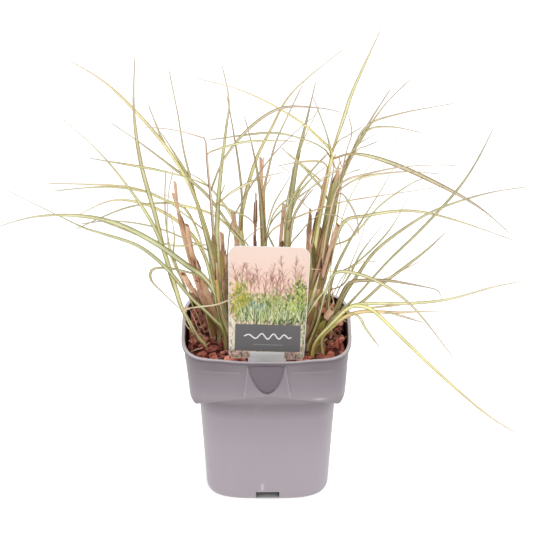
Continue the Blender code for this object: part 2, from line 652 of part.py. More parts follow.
def make_mulch(parts, cutters, look, outliers):
    outer = collar_half(MULCH_TOP) - WALL - GAP - 1.2
    bm = bmesh.new()
    rings = [plan_ring(collar_half(SOIL_TOP) - WALL - GAP - 0.4, SOIL_TOP + GAP)]
    for share in (1.0, 0.8, 0.6, 0.4, 0.2):
        ring = plan_ring(outer * share, MULCH_TOP - 1.0)
        rings.append([
            (x, y, mulch_height(x, y) - MULCH_DROP * share ** 6 + bank_height(x, y) * share ** 8)
            for x, y, _ in ring
        ])
    loops = skin(bm, rings, closed_ends=False)
    bm.faces.new(loops[0][::-1])
    middle = bm.verts.new((0.0, 0.0, mulch_height(0.0, 0.0)))
    for i in range(PLAN_POINTS):
        bm.faces.new((loops[-1][i], loops[-1][(i + 1) % PLAN_POINTS], middle))
    mulch = object_from(bm, "bark_mulch", parts, look)

    # The exact solver leaves stray faces where these openings meet the waved top.
    for i, (x, y, wide, deep) in enumerate(TUFTS):
        bm = bmesh.new()
        prism(bm, (x, y), (wide, deep), SOIL_TOP - 2.0, MULCH_TOP + 9.0, TUFT_SIDES)
        opening = as_cutter(object_from(bm, f"crown_opening_{i + 1}", cutters))
        boolean(mulch, opening, "DIFFERENCE", "MANIFOLD")
    boolean(mulch, label_blade("mulch_label_slot", cutters, 1.0, SOIL_TOP - 4.0), "DIFFERENCE", "MANIFOLD")
    bm = bmesh.new()
    for spot, half in outliers:
        socket(bm, spot, half, SOIL_TOP - 2.0, MULCH_TOP + 9.0, 2 * GAP)
    holes = as_cutter(object_from(bm, "mulch_stem_holes", cutters))
    boolean(mulch, holes, "DIFFERENCE", "MANIFOLD")
    return mulch


# ---------------------------------------------------------------------------------- label
def corner_arc(centre, radius, start, steps=5):
    for k in range(steps + 1):
        angle = math.radians(start + 90.0 * k / steps)
        yield (centre[0] + radius * math.cos(angle), centre[1] + radius * math.sin(angle))


def label_outline():
    """Card and stake as one outline in the sheet's own plane, up from the card's lower edge."""
    shoulder = CARD_HEIGHT - CARD_ROUNDING
    right = CARD_MIDDLE + CARD_TOP_HALF - CARD_ROUNDING
    left = CARD_MIDDLE - CARD_TOP_HALF + CARD_ROUNDING
    foot_right = CARD_MIDDLE + CARD_FOOT_HALF
    foot_left = CARD_MIDDLE - CARD_FOOT_HALF
    outline = [(foot_right - CARD_CHAMFER, 0.0), (foot_right, CARD_CHAMFER)]
    outline += corner_arc((right, shoulder), CARD_ROUNDING, 0.0)
    outline += corner_arc((left, shoulder), CARD_ROUNDING, 90.0)
    outline += [(foot_left, CARD_CHAMFER), (foot_left + CARD_CHAMFER, 0.0)]
    outline += [(-STAKE_HALF, 0.0), (-STAKE_HALF, -STAKE_LENGTH)]
    outline += [(STAKE_HALF, -STAKE_LENGTH), (STAKE_HALF, 0.0)]
    return [turned(across, up) for across, up in outline]


def turned(across, up):
    """A point of the sheet after its turn about the middle of the stake."""
    sine, cosine = math.sin(LABEL_TURN), math.cos(LABEL_TURN)
    above = up + STAKE_LENGTH / 2
    return (across * cosine - above * sine, across * sine + above * cosine - STAKE_LENGTH / 2)


def make_label(parts, look):
    curve = bpy.data.curves.new("plant_label", "CURVE")
    curve.dimensions = "2D"
    curve.fill_mode = "BOTH"
    curve.extrude = CARD_THICKNESS * MM / 2
    outline = label_outline()
    spline = curve.splines.new("POLY")
    spline.points.add(len(outline) - 1)
    for point, (across, up) in zip(spline.points, outline):
        point.co = (across * MM, up * MM, 0.0, 1.0)
    spline.use_cyclic_u = True
    curve.materials.append(look)
    label = bpy.data.objects.new("plant_label", curve)
    label.location = [value * MM for value in LABEL_FOOT]
    label.rotation_euler = (math.pi / 2 - LABEL_LEAN, 0.0, 0.0)
    parts.objects.link(label)
    return label


# ---------------------------------------------------------------------------------- grass layout
def sighted(place, depth):
    """The point at a given depth (+Y) that shows at a place on the front drawing."""
    right = place[0] - SHEET_MIDDLE[0]
    up = SHEET_MIDDLE[1] - place[1]
    sine, cosine = math.sin(SIGHT_ANGLE), math.cos(SIGHT_ANGLE)
    slope = up / SIGHT_DISTANCE
    rise = (up + depth * (slope * cosine - sine)) / (cosine + slope * sine)
    away = cosine * depth - sine * rise
    return Vector((right * (1.0 + away / SIGHT_DISTANCE), depth, AIM_HEIGHT + rise))


def sight_line():
    return Vector((0.0, math.cos(SIGHT_ANGLE), -math.sin(SIGHT_ANGLE)))


def curve_point(a, b, c, d, t):
    """A point of the Catmull-Rom curve between b and c."""
    straight = 2 * b + (c - a) * t
    bent = (2 * a - 5 * b + 4 * c - d) * t * t + (3 * b - a - 3 * c + d) * t ** 3
    return 0.5 * (straight + bent)


def smooth_line(points, count):
    """Evenly spaced samples of a smooth curve through the points."""
    fine = []
    padded = [points[0] * 2 - points[1]] + points + [points[-1] * 2 - points[-2]]
    for four in zip(padded, padded[1:], padded[2:], padded[3:]):
        fine += [curve_point(*four, k / CURVE_STEPS) for k in range(CURVE_STEPS)]
    fine.append(points[-1])
    lengths = [0.0]
    for a, b in zip(fine, fine[1:]):
        lengths.append(lengths[-1] + (b - a).length)
    samples = []
    at = 0
    for k in range(count):
        target = lengths[-1] * k / (count - 1)
        while at < len(fine) - 2 and lengths[at + 1] < target:
            at += 1
        span = lengths[at + 1] - lengths[at] or 1.0
        samples.append(fine[at].lerp(fine[at + 1], (target - lengths[at]) / span))
    return samples


def spread(places, start_depth, tip_depth):
    """Points of a strand, with its depth easing from the start's to the tip's."""
    travelled = [0.0]
    for (ax, ay), (bx, by) in zip(places, places[1:]):
        travelled.append(travelled[-1] + math.hypot(bx - ax, by - ay))
    shares = [(far / travelled[-1]) ** DEPTH_EASE for far in travelled]
    return [sighted(place, mix(start_depth, tip_depth, share)) for place, share in zip(places, shares)]


def nearest(samples, place):
    def miss(index):
        seen = samples[index]
        return (seen - sighted(place, seen.y)).length
    return min(range(2, len(samples)), key=miss)


class Strand:
    """A leaf or cane: its centre line, its half width and what it grows from."""

    def __init__(self, shoot, samples, half, stem=None, joint=0):
        self.shoot = shoot
        self.samples = samples
        self.half = half
        self.stem = stem
        self.joint = joint
        self.offset = [0.0] * len(samples)

    def spacing(self):
        return (self.samples[-1] - self.samples[0]).length / len(self.samples)

    def hold(self, index):
        """How freely a sample may be pushed: not at all where it is rooted."""
        if self.stem:
            return ease(index / ROOTED_SAMPLES)
        return ease((self.samples[index].z - MULCH_TOP - STEM_HELD[0]) / STEM_HELD[1])

    def placed(self):
        line = sight_line()
        lead = self.stem.offset[self.joint] if self.stem else 0.0
        count = len(self.samples)
        return [
            point + line * (self.offset[i] + lead * (1.0 - ease(i / (count - 1.0))))
            for i, point in enumerate(self.samples)
        ]


def rooted_points(foot, places, tip_depth):
    heights = (STEM_FOOT, SOIL_TOP + 2.0, COLLAR_HEIGHT)
    return [Vector((foot[0], foot[1], height)) for height in heights] + spread(places, foot[1], tip_depth)


def settle_feet():
    """Feet moved apart until no two stems meet in the crown."""
    feet = {name: [Vector(foot), SHEATH_HALF] for name, (foot, _) in SHOOTS.items()}
    for i, (foot, half, _, _) in enumerate(CANES):
        feet[f"cane_{i}"] = [Vector(foot), half]
    names = list(feet)
    for _ in range(SETTLING_ROUNDS):
        for i, a in enumerate(names):
            for b in names[i + 1:]:
                apart = feet[b][0] - feet[a][0]
                needed = SOCKET_FIT * (feet[a][1] + feet[b][1]) + 2 * GAP + FEET_SPACING
                short = needed - apart.length
                if short > 0.0:
                    push = apart.normalized() * short / 2
                    feet[a][0] -= push
                    feet[b][0] += push
    return {name: ((spot.x, spot.y), half) for name, (spot, half) in feet.items()}


def lay_out():
    """Every strand at its place, with the crossings between shoots cleared along the line of sight."""
    feet = settle_feet()
    strands = []
    for name, (_, leaves) in SHOOTS.items():
        foot = feet[name][0]
        half, depth, places = leaves[0]
        stem = Strand(name, smooth_line(rooted_points(foot, places, depth), STRAND_SAMPLES), half)
        strands.append(stem)
        for half, depth, places in leaves[1:]:
            joint = nearest(stem.samples, places[0])
            start = stem.samples[joint]
            points = [start] + spread(places, start.y, depth)[1:]
            strands.append(Strand(name, smooth_line(points, STRAND_SAMPLES), half, stem, joint))
    for i, (_, half, depth, places) in enumerate(CANES):
        points = rooted_points(feet[f"cane_{i}"][0], places, depth)
        strands.append(Strand(f"cane_{i}", smooth_line(points, STRAND_SAMPLES), half))
    clear_crossings(strands)
    return feet, strands


def width_at(strand, share):
    """Half width along a strand: sheath, blade, then a long taper to the tip."""
    if strand.shoot.startswith("cane"):
        return strand.half * (1.0 - CANE_TAPER * share)
    blade = mix(BLADE_START, 1.0, ease(share / FULL_WIDTH_AT)) * strand.half
    beyond = max(0.0, share - FULL_WIDTH_AT) / (1.0 - FULL_WIDTH_AT)
    blade = max(blade * (1.0 - beyond ** TAPER_CURVE), TIP_HALF)
    if strand.stem:
        return blade
    sheath = mix(SHEATH_HALF, 0.0, setting_in(share, SHEATH_FADES))
    return max(blade, sheath, culm_half(strand, share))


def culm_half(strand, share):
    """Half thickness of a jointed stem, none beyond its end or where a shoot has only blades."""
    half, end = CULMS.get(strand.shoot, (0.0, 0.0))
    return mix(half, 0.0, setting_in(share, (end, CULM_ENDS)))


def clear_crossings(strands):
    line = sight_line()
    owners = [(s, i) for s, strand in enumerate(strands) for i in range(len(strand.samples))]
    for _ in range(CLEARING_ROUNDS):
        tree = KDTree(len(owners))
        positions = [strand.placed() for strand in strands]
        for key, (s, i) in enumerate(owners):
            tree.insert(positions[s][i], key)
        tree.balance()
        pushes = [[0.0] * len(strand.samples) for strand in strands]
        worst = 0.0
        for key, (s, i) in enumerate(owners):
            here = positions[s][i]
            mine = width_at(strands[s], i / (STRAND_SAMPLES - 1))
            for there, other, distance in tree.find_range(here, CLEARING_SEARCH):
                t, j = owners[other]
                if t <= s or strands[t].shoot == strands[s].shoot:
                    continue
                theirs = width_at(strands[t], j / (STRAND_SAMPLES - 1))
                short = mine + theirs + STRAND_SPACING - distance
                if short <= 0.0:
                    continue
                worst = max(worst, short)
                if (here - there).dot(line) > 0.0:
                    pushes[s][i] = max(pushes[s][i], short)
                    pushes[t][j] = min(pushes[t][j], -short)
                else:
                    pushes[s][i] = min(pushes[s][i], -short)
                    pushes[t][j] = max(pushes[t][j], short)
        if worst < CLEARED:
            break
        for strand, push in zip(strands, pushes):
            apply_push(strand, push)


def apply_push(strand, push):
    """A push at one sample moves its neighbours too, so that the strand stays smooth."""
    reach = max(2, round(CLEARING_REACH / max(strand.spacing(), 0.5)))
    stiff = CANE_STIFFNESS if strand.shoot.startswith("cane") else 1.0
    count = len(push)
    moved = [0.0] * count
    for i, value in enumerate(push):
        if value == 0.0:
            continue
        for j in range(max(0, i - 2 * reach), min(count, i + 2 * reach + 1)):
            share = 0.5 * value * math.exp(-((j - i) / reach) ** 2)
            if abs(share) > abs(moved[j]):
                moved[j] = share
    for j in range(count):
        strand.offset[j] += moved[j] * strand.hold(j) * stiff


# ---------------------------------------------------------------------------------- grass solids
def facing(tangent, lean):
    """The way a blade's upper face looks: up, back over the clump and a little to the front."""
    wish = Vector((-FACE_BACK * lean.x, -FACE_BACK * lean.y - FACE_FRONT, FACE_UP))
    normal = wish - tangent * wish.dot(tangent)
    return normal.normalized()


def ring_shares(strand, placed, joints):
    """Where along a strand its sections lie: evenly, but with one wherever another leaf leaves it."""
    length = sum((b - a).length for a, b in zip(placed, placed[1:]))
    segments = max(FEWEST_SEGMENTS, min(MOST_SEGMENTS, round(length / LEAF_SEGMENT)))
    wanted = {joint / (len(placed) - 1) for joint in joints}
    even = {k / segments for k in range(segments + 1)}
    clear = {share for share in even if all(abs(share - other) > 0.35 / segments for other in wanted)}
    return sorted(clear | wanted | {0.0, 1.0})


def strand_rings(strand, placed, joints=()):
    lean = placed[-1] - placed[0]
    lean.z = 0.0
    lean.normalize()
    last = len(placed) - 1
    rings = []
    before = None
    for share in ring_shares(strand, placed, joints):
        index = share * last
        at = min(int(index), last - 1)
        point = placed[at].lerp(placed[at + 1], index - at)
        tangent = (placed[min(at + 2, last)] - placed[max(at - 1, 0)]).normalized()
        normal = facing(tangent, lean)
        across = tangent.cross(normal).normalized()
        if before and across.dot(before) < 0.0:
            across, normal = -across, -normal
        before = across
        half = width_at(strand, share)
        thick = LEAF_THICKNESS / 2
        if not strand.stem:
            thick = mix(SHEATH_HALF, thick, setting_in(share, STEM_FLATTENS))
            thick = max(thick, culm_half(strand, share))
            if any(abs(share * last - joint) < 0.5 for joint in joints):
                thick, half = max(thick, NODE_HALF), max(half, NODE_HALF)
            side, rise = across * half, normal * thick
            rings.append([point + side, point + rise, point - side, point - rise])
        else:
            side, rise = across * half, normal * thick
            edge, crown = -BLADE_EDGE * rise, BLADE_CROWN * rise
            rings.append([point + side + edge, point + crown, point - side + edge])
    return rings


def collar_index(strand):
    """The last sample of the upright foot of a stem."""
    return max(i for i, point in enumerate(strand.samples[:12]) if point.z < COLLAR_HEIGHT)


def make_shoot(name, members, parts, cutters, look):
    made = None
    joints = [collar_index(members[0])] + [strand.joint for strand in members[1:]]
    for k, strand in enumerate(members):
        bm = bmesh.new()
        skin(bm, strand_rings(strand, strand.placed(), () if strand.stem else joints))
        if made is None:
            made = object_from(bm, f"shoot_{name}", parts, look)
        else:
            leaf = as_cutter(object_from(bm, f"{name}_leaf_{k}", cutters))
            # The exact solver loses faces where a leaf leaves its stem at a very shallow angle.
            boolean(made, leaf, "UNION", "MANIFOLD")
    return made


def make_cane(index, strand, parts, look):
    placed = strand.placed()
    bm = bmesh.new()
    rings = []
    last = len(placed) - 1
    for share in (0.0, collar_index(strand) / last) + CANE_SHARES:
        at = min(int(share * last), last - 1)
        point = placed[at].lerp(placed[at + 1], share * last - at)
        tangent = (placed[min(at + 2, last)] - placed[max(at - 1, 0)]).normalized()
        across = tangent.cross(Vector((0.0, 1.0, 0.0))).normalized()
        normal = across.cross(tangent)
        half = width_at(strand, share)
        slant = CANE_SLANT * half if share == 1.0 else 0.0
        ring = []
        for side in range(CANE_SIDES):
            turn = math.tau * side / CANE_SIDES
            outward = across * math.cos(turn) + normal * math.sin(turn)
            ring.append(point + outward * half + tangent * slant * math.cos(turn))
        rings.append(ring)
    skin(bm, rings)
    return object_from(bm, f"old_cane_{index + 1:02d}", parts, look)


def outside_crown(spot, half):
    """True for a stem that meets the mulch beyond every opening, or at its edge."""
    for x, y, wide, deep in TUFTS:
        margin = half + 1.5
        if math.hypot((spot[0] - x) / (wide - margin), (spot[1] - y) / (deep - margin)) <= 1.0:
            return False
    return True


def main():
    clear_scene()
    parts = new_collection("potted_miscanthus")
    cutters = new_collection("cutters")
    feet, strands = lay_out()
    make_pot(parts, cutters, material("pot_plastic", (0.36, 0.33, 0.35), 0.45))
    stems = list(feet.values())
    make_soil(parts, cutters, material("potting_soil", (0.03, 0.02, 0.015), 0.95), stems)

    outliers = [(spot, half) for spot, half in stems if outside_crown(spot, half)]
    make_mulch(parts, cutters, material("pine_bark", (0.16, 0.06, 0.03), 0.85), outliers)
    make_label(parts, material("label_card", (0.85, 0.68, 0.6), 0.35))
    leaf_look = material("grass_leaf", (0.38, 0.46, 0.13), 0.5)
    cane_look = material("dry_cane", (0.66, 0.45, 0.28), 0.7)
    for name in SHOOTS:
        make_shoot(name, [s for s in strands if s.shoot == name], parts, cutters, leaf_look)
    for index in range(len(CANES)):
        cane = next(s for s in strands if s.shoot == f"cane_{index}")
        make_cane(index, cane, parts, cane_look)


main()
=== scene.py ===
# %% [markdown]
# # Potted miscanthus grass
# This notebook dresses a young ornamental grass as a garden centre sells it: a square grey nursery
# pot, a picture label, bark mulch, a root ball, the stubs of last year's canes and 36 leafy shoots.
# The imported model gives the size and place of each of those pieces. What follows adds the finish:
# folded blades in place of plain strips, chips in place of a plain layer, moulded plastic, print.
#
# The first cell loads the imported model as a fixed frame. Nothing in it is moved or resized. A node
# either gets a better material, or a finer mesh stands in its place.

# %% Load the fixed frame
import json
import math
import random

import bmesh
import bpy
import numpy as np
from mathutils import Matrix, Vector, noise
from mathutils.kdtree import KDTree

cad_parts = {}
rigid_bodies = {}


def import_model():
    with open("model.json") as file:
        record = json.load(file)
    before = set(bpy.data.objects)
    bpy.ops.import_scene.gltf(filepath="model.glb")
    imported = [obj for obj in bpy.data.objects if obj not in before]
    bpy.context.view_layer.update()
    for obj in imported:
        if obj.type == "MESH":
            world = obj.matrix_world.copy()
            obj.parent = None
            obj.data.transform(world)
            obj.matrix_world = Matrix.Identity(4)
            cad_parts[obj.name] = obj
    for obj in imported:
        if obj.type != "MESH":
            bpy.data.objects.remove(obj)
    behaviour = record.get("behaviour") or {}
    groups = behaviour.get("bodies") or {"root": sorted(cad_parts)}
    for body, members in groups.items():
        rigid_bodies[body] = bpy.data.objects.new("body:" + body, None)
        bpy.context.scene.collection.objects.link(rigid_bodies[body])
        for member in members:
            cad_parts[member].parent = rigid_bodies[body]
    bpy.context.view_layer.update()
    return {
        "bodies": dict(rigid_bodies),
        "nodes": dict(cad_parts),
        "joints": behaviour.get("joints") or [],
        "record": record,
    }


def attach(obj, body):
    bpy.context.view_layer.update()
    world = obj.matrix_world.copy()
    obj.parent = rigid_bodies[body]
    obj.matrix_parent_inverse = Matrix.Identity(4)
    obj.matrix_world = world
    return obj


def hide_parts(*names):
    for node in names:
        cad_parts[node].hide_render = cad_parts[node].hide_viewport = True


for thing in list(bpy.data.objects):
    bpy.data.objects.remove(thing, do_unlink=True)
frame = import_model()
MM = 0.001
print("frame:", len(frame["nodes"]), "nodes, box in mm:")

# %% [markdown]
# ## Camera
# The picture was taken with a long lens from about three metres, 24 degrees above the level, so
# upright lines hardly lean. A camera is easiest to match by naming what it looks at. Here that is
# the middle of a 533 mm square sheet standing in the pot's own upright axis: at that distance one
# picture element is one millimetre. The leaves are later laid out on the same sheet.

# %% Camera at the viewing angle
def in_scene(name, data):
    """A new object for this data, linked into the scene."""
    made = bpy.data.objects.new(name, data)
    bpy.context.scene.collection.objects.link(made)
    return made


SIGHT_ANGLE = math.radians(24.2)
SIGHT_DISTANCE = 3000.0
SHEET_SIZE = 533.0
SHEET_MIDDLE = (266.6, 266.5)
AIM_HEIGHT = 229.6
SENSOR_WIDTH = 36.0

camera_data = bpy.data.cameras.new("front_camera")
camera_data.sensor_width = SENSOR_WIDTH
camera_data.lens = SENSOR_WIDTH * SIGHT_DISTANCE / SHEET_SIZE
camera_data.clip_end = 40.0
camera = in_scene("front_camera", camera_data)
camera.location = (
    0.0,
    -SIGHT_DISTANCE * math.cos(SIGHT_ANGLE) * MM,
    (AIM_HEIGHT + SIGHT_DISTANCE * math.sin(SIGHT_ANGLE)) * MM,
)
camera.rotation_euler = (math.pi / 2 - SIGHT_ANGLE, 0.0, 0.0)
bpy.context.scene.camera = camera
print("camera lens:", round(camera_data.lens, 1), "mm")

# %% [markdown]
# ## Studio
# Plant catalogues light their pots in a white sweep: the light comes from everywhere, the shadows
# are soft and the floor burns out to white. A white world gives the light from everywhere, a broad
# lamp above the camera's left shoulder shapes the pot, and the floor glows a little by itself, so
# that the shadow under the pot stays faint.

# %% Floor, lamps and world
def colour(code):
    """An sRGB hex colour as the linear red, green, blue and alpha that a socket takes."""
    channels = [int(code[at:at + 2], 16) / 255 for at in (1, 3, 5)]
    linear = [c / 12.92 if c <= 0.04045 else ((c + 0.055) / 1.055) ** 2.4 for c in channels]
    return (*linear, 1.0)


def set_up(tree, node, settings=None, links=None):
    """Settings are a node's sockets, its options or a ramp's stops. Links are what feeds its
    sockets: a socket of another node, or the node itself for its first socket."""
    for key, value in (settings or {}).items():
        if key == "stops":
            stops = node.color_ramp.elements
            while len(stops) < len(value):
                stops.new(1.0)
            for stop, (place, shade) in zip(stops, value):
                stop.position = place
                stop.color = colour(shade) if isinstance(shade, str) else (shade, shade, shade, 1.0)
        elif isinstance(key, str) and key.islower():
            setattr(node, key, value)
        else:
            node.inputs[key].default_value = value
    for key, source in (links or {}).items():
        tree.links.new(getattr(source, "outputs", [source])[0], node.inputs[key])
    return node


def add(tree, kind, settings=None, links=None):
    """Adds a node and sets it up."""
    return set_up(tree, tree.nodes.new("ShaderNode" + kind), settings, links)


FACTOR, FIRST, SECOND, MIXED = 0, 6, 7, 2  # sockets of a Mix node that mixes colours
POLYPROPYLENE_IOR = 1.49


def new_material(name):
    """A material with an empty Principled shader, its node tree and that shader."""
    made = bpy.data.materials.new(name)
    made.use_nodes = True
    return made, made.node_tree, made.node_tree.nodes["Principled BSDF"]


FLOOR_HALF = 12.0
FLOOR_GLOW = 0.62
GLOW_EDGE = (0.0595, 0.0625)  # metres from the pot's axis
FOOT_PLAN = 3.6  # the power that shapes the pot's foot in plan
WORLD_BRIGHT, WORLD_DIM = 0.62, 0.26

bm = bmesh.new()
bmesh.ops.create_grid(bm, x_segments=8, y_segments=8, size=FLOOR_HALF)
floor_mesh = bpy.data.meshes.new("studio_floor")
bm.to_mesh(floor_mesh)
bm.free()
floor = in_scene("studio_floor", floor_mesh)
floor.location.z = -0.0002
paper, tree, shader = new_material("white_paper_sweep")
# The glow stops under the pot, where no light from the sweep gets in.
place = add(tree, "TexCoord").outputs["Object"]
positive = add(tree, "VectorMath", {"operation": "ABSOLUTE"}, {0: place})
sides = add(tree, "SeparateXYZ", {}, {"Vector": positive}).outputs
powers = [add(tree, "Math", {"operation": "POWER", 1: FOOT_PLAN}, {0: side}) for side in sides[:2]]
total = add(tree, "Math", {"operation": "ADD"}, {0: powers[0], 1: powers[1]})
away = add(tree, "Math", {"operation": "POWER", 1: 1.0 / FOOT_PLAN}, {0: total})
glow = add(tree, "MapRange", {"From Min": GLOW_EDGE[0], "From Max": GLOW_EDGE[1], "To Max": FLOOR_GLOW},
           {"Value": away})
set_up(tree, shader, {"Base Color": colour("#E4E4E4"), "Roughness": 0.9,
                      "Emission Color": colour("#FFFFFF")}, {"Emission Strength": glow})
floor_mesh.materials.append(paper)

world = bpy.data.worlds.new("white_studio")
world.use_nodes = True
tree = world.node_tree
towards = add(tree, "TexCoord").outputs["Generated"]
depth = add(tree, "SeparateXYZ", {}, {"Vector": towards}).outputs[1]
# The photographer's side of the room is dimmer than the white wall behind the plant.
light = add(tree, "MapRange", {"From Min": -1.0, "From Max": 0.6, "To Min": WORLD_DIM,
                               "To Max": WORLD_BRIGHT}, {"Value": depth})
set_up(tree, tree.nodes["Background"], {"Color": colour("#FFFFFF")}, {"Strength": light})
bpy.context.scene.world = world

for name, spot, size, power in (
    ("key_softbox", (-1.3, -2.2, 2.4), 1.6, 20.0),
    ("top_softbox", (0.3, 0.5, 2.2), 1.6, 22.0),
    ("front_fill", (0.5, -2.6, 1.6), 1.2, 12.0),
):
    lamp = bpy.data.lights.new(name, "AREA")
    lamp.size = size
    lamp.energy = power
    holder = in_scene(name, lamp)
    holder.location = spot
    towards = Vector((0.0, 0.0, 0.2)) - holder.location
    holder.rotation_euler = towards.to_track_quat("-Z", "Y").to_euler()
bpy.context.scene.view_settings.view_transform = "Standard"
print("studio: floor glow", FLOOR_GLOW, "world", WORLD_DIM, "to", WORLD_BRIGHT)

# %% [markdown]
# ## Gathering a piece
# A leaf, a chip or a pot wall is a run of rings joined by faces. Thousands of them end up in a few
# meshes, so they are gathered in plain lists first and turned to a mesh once. Each face remembers
# its finish, and each corner where it lies in the pattern: a UV map in centimetres across and along
# the piece. Two numbers on each point carry what a map can't: how far along its leaf the point is,
# and a tone, which makes every leaf or chip a little unlike its neighbour.

# %% The gatherer
class Gatherer:
    """Points and faces of one piece in millimetres, with the finish and pattern of each face."""

    def __init__(self):
        self.points = []
        self.along = []
        self.tone = []
        self.faces = []
        self.pattern = []
        self.finish = []
        self.looks = []

    def point(self, place, along=0.0, tone=0.5):
        self.points.append(place)
        self.along.append(along)
        self.tone.append(tone)
        return len(self.points) - 1

    def face(self, corners, look, pattern=None):
        if look not in self.looks:
            self.looks.append(look)
        self.faces.append(corners)
        self.pattern += pattern or [(0.0, 0.0)] * len(corners)
        self.finish.append(self.looks.index(look))

    def tube(self, rings, around, lengths, look, shares=None, tone=0.5, closed=True, capped=True):
        """Joins rings of points. The pattern runs around and along them, both given in mm."""
        count = len(rings[0])
        shares = shares or [length / lengths[-1] for length in lengths]
        rows = [[self.point(p, share, tone) for p in ring] for ring, share in zip(rings, shares)]
        for k in range(len(rings) - 1):
            low, high = lengths[k] / 10.0, lengths[k + 1] / 10.0
            for i in range(count if closed else count - 1):
                j = (i + 1) % count
                left, right = around[i] / 10.0, around[i + 1] / 10.0
                spots = [(left, low), (right, low), (right, high), (left, high)]
                self.face([rows[k][i], rows[k][j], rows[k + 1][j], rows[k + 1][i]], look, spots)
        if closed and capped:
            for row, length in ((rows[0][::-1], lengths[0]), (rows[-1], lengths[-1])):
                self.face(row, look, [(around[0] / 10.0, length / 10.0)] * count)
        return rows

    def build(self, name, slot, *nodes, sharp=40.0):
        """The gathered piece as an object that rides on the pot's body and stands for these nodes."""
        mesh = bpy.data.meshes.new(name)
        mesh.from_pydata([Vector(p) * MM for p in self.points], [], self.faces)
        for look in self.looks:
            mesh.materials.append(look)
        mesh.polygons.foreach_set("material_index", self.finish)
        spots = mesh.uv_layers.new(name="pattern")
        spots.data.foreach_set("uv", [value for spot in self.pattern for value in spot])
        for label, values in (("along", self.along), ("tone", self.tone)):
            mesh.attributes.new(label, "FLOAT", "POINT").data.foreach_set("value", values)
        mesh.shade_smooth()
        mesh.set_sharp_from_angle(angle=math.radians(sharp))
        piece = in_scene(name, mesh)
        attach(piece, "root")
        if nodes:
            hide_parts(*nodes)
        return piece


def mix(a, b, share):
    return a + (b - a) * share


def ease(share):
    share = min(max(share, 0.0), 1.0)
    return share * share * (3.0 - 2.0 * share)


def setting_in(value, span):
    """0 before the span's start, 1 once its width is past, and an easy rise between."""
    start, width = span
    return ease((value - start) / width)

# %% [markdown]
# ## Where every leaf runs
# A clump like this can't be scattered by chance: each blade has its own arch, kink and droop. Each
# one was drawn as a smooth line on the sheet that the camera looks at, with a depth for its
# tip, and the pot gave each shoot its foot. The list is grouped by the part of the clump that a
# shoot stands in. Every leaf has its half width in millimetres, the depth of its tip, the name of
# its finish and its places on the sheet, from base to tip. The tables are plain text, a leaf to a row.

# %% Shoots on the left
def table(text):
    """The rows of a drawn table: numbers, names, and places such as 198,338."""
    def entry(word):
        if "," in word:
            return tuple(float(part) for part in word.split(","))
        return word if word[0].isalpha() else float(word)
    return [[entry(word) for word in line.split()] for line in text.strip().splitlines()]


def shoot_table(text):
    """Shoots by name: a row with the name and foot of each, then its leaves, the stem's own first."""
    shoots = {}
    for row in table(text):
        if len(row) == 2:
            leaves = []
            shoots[row[0]] = (row[1], leaves)
        else:
            leaves.append(row)
    return shoots


SHOOTS = shoot_table("""
rim -62,-18
  2.4 -5 fresh 198,338 190,323 181,306 172,277 155,229 127,186 96,149 55,112
  2.2 60 olive 181,306 170,275 156,218 141,163 134,110 135,52
  2.0 -108 withered 185,309 199,307 215,305 229,300 248,290
left_tall -40,22
  3.0 95 gold 220,300 214,262 204,224 188,183 165,146 134,110 103,81 62,56
  1.2 20 olive 212,255 196,244 166,231 140,224 110,221 79,224
left_wide -41,4
  2.8 30 blue 219,290 213,262 206,235 199,212 187,178
  1.4 -10 olive 205,230 185,215 164,199 140,191 103,187 52,191
left_low -46,0
  3.0 -90 blue 219,305 205,279 186,265 155,243 117,224 79,216 34,217 -13,230
  1.6 -75 olive 211,287 198,276 182,271 165,268 152,270 151,280 162,292 180,309
left_kinked -40,-20
  2.1 -100 fresh 222,329 212,318 203,309 195,302 186,292 165,267 138,246 103,234 84,228 55,214 0,187
left_arching -44,30
  1.8 130 gold 215,300 207,262 193,236 170,216 141,203 110,201 74,217
  1.4 90 olive 207,262 196,228 181,206 150,204 120,210 74,230
left_culm -36,-6
  1.6 10 purple 221,310 215,250 211,200 208.5,175 206.8,155 205.3,140 200,137 179,131 158,128 138,127
  1.5 -50 olive 207,155 213,151 234,144.6 251,141.5 284,141 313,144
  1.6 60 bronze 210,192 225,158 252,126 282,108 319,108 344,113
  1.6 -60 gold 209,186 191,179 165,172 141,167 88,158
left_upright -33,14
  2.5 60 fresh 222,315 219,270 217,227 220,180 226,129 229,100 221,60
  1.4 90 bronze 218,204 231,193 247,184 264,177 285,172
  1.3 -40 olive 218,250 205,245 175,246 146,238 117,227 101,221
left_slender -44,44
  1.6 150 olive 217,300 208,245 196,200 184,152 178,115 168,65
  1.4 175 olive 190,178 172,156 163,141 148,104
  1.5 95 olive 197,204 187,175 176,156 161,132
left_leaning -28,-8
  1.9 -110 bronze 227,310 227,265 231,226 245,197 264,167 287,140 319,112
left_front -35,-22
  2.0 -177.9 fresh 221,318 214,290 206,258 196,228 176,200 150,192
""")
print("left:", len(SHOOTS), "shoots")

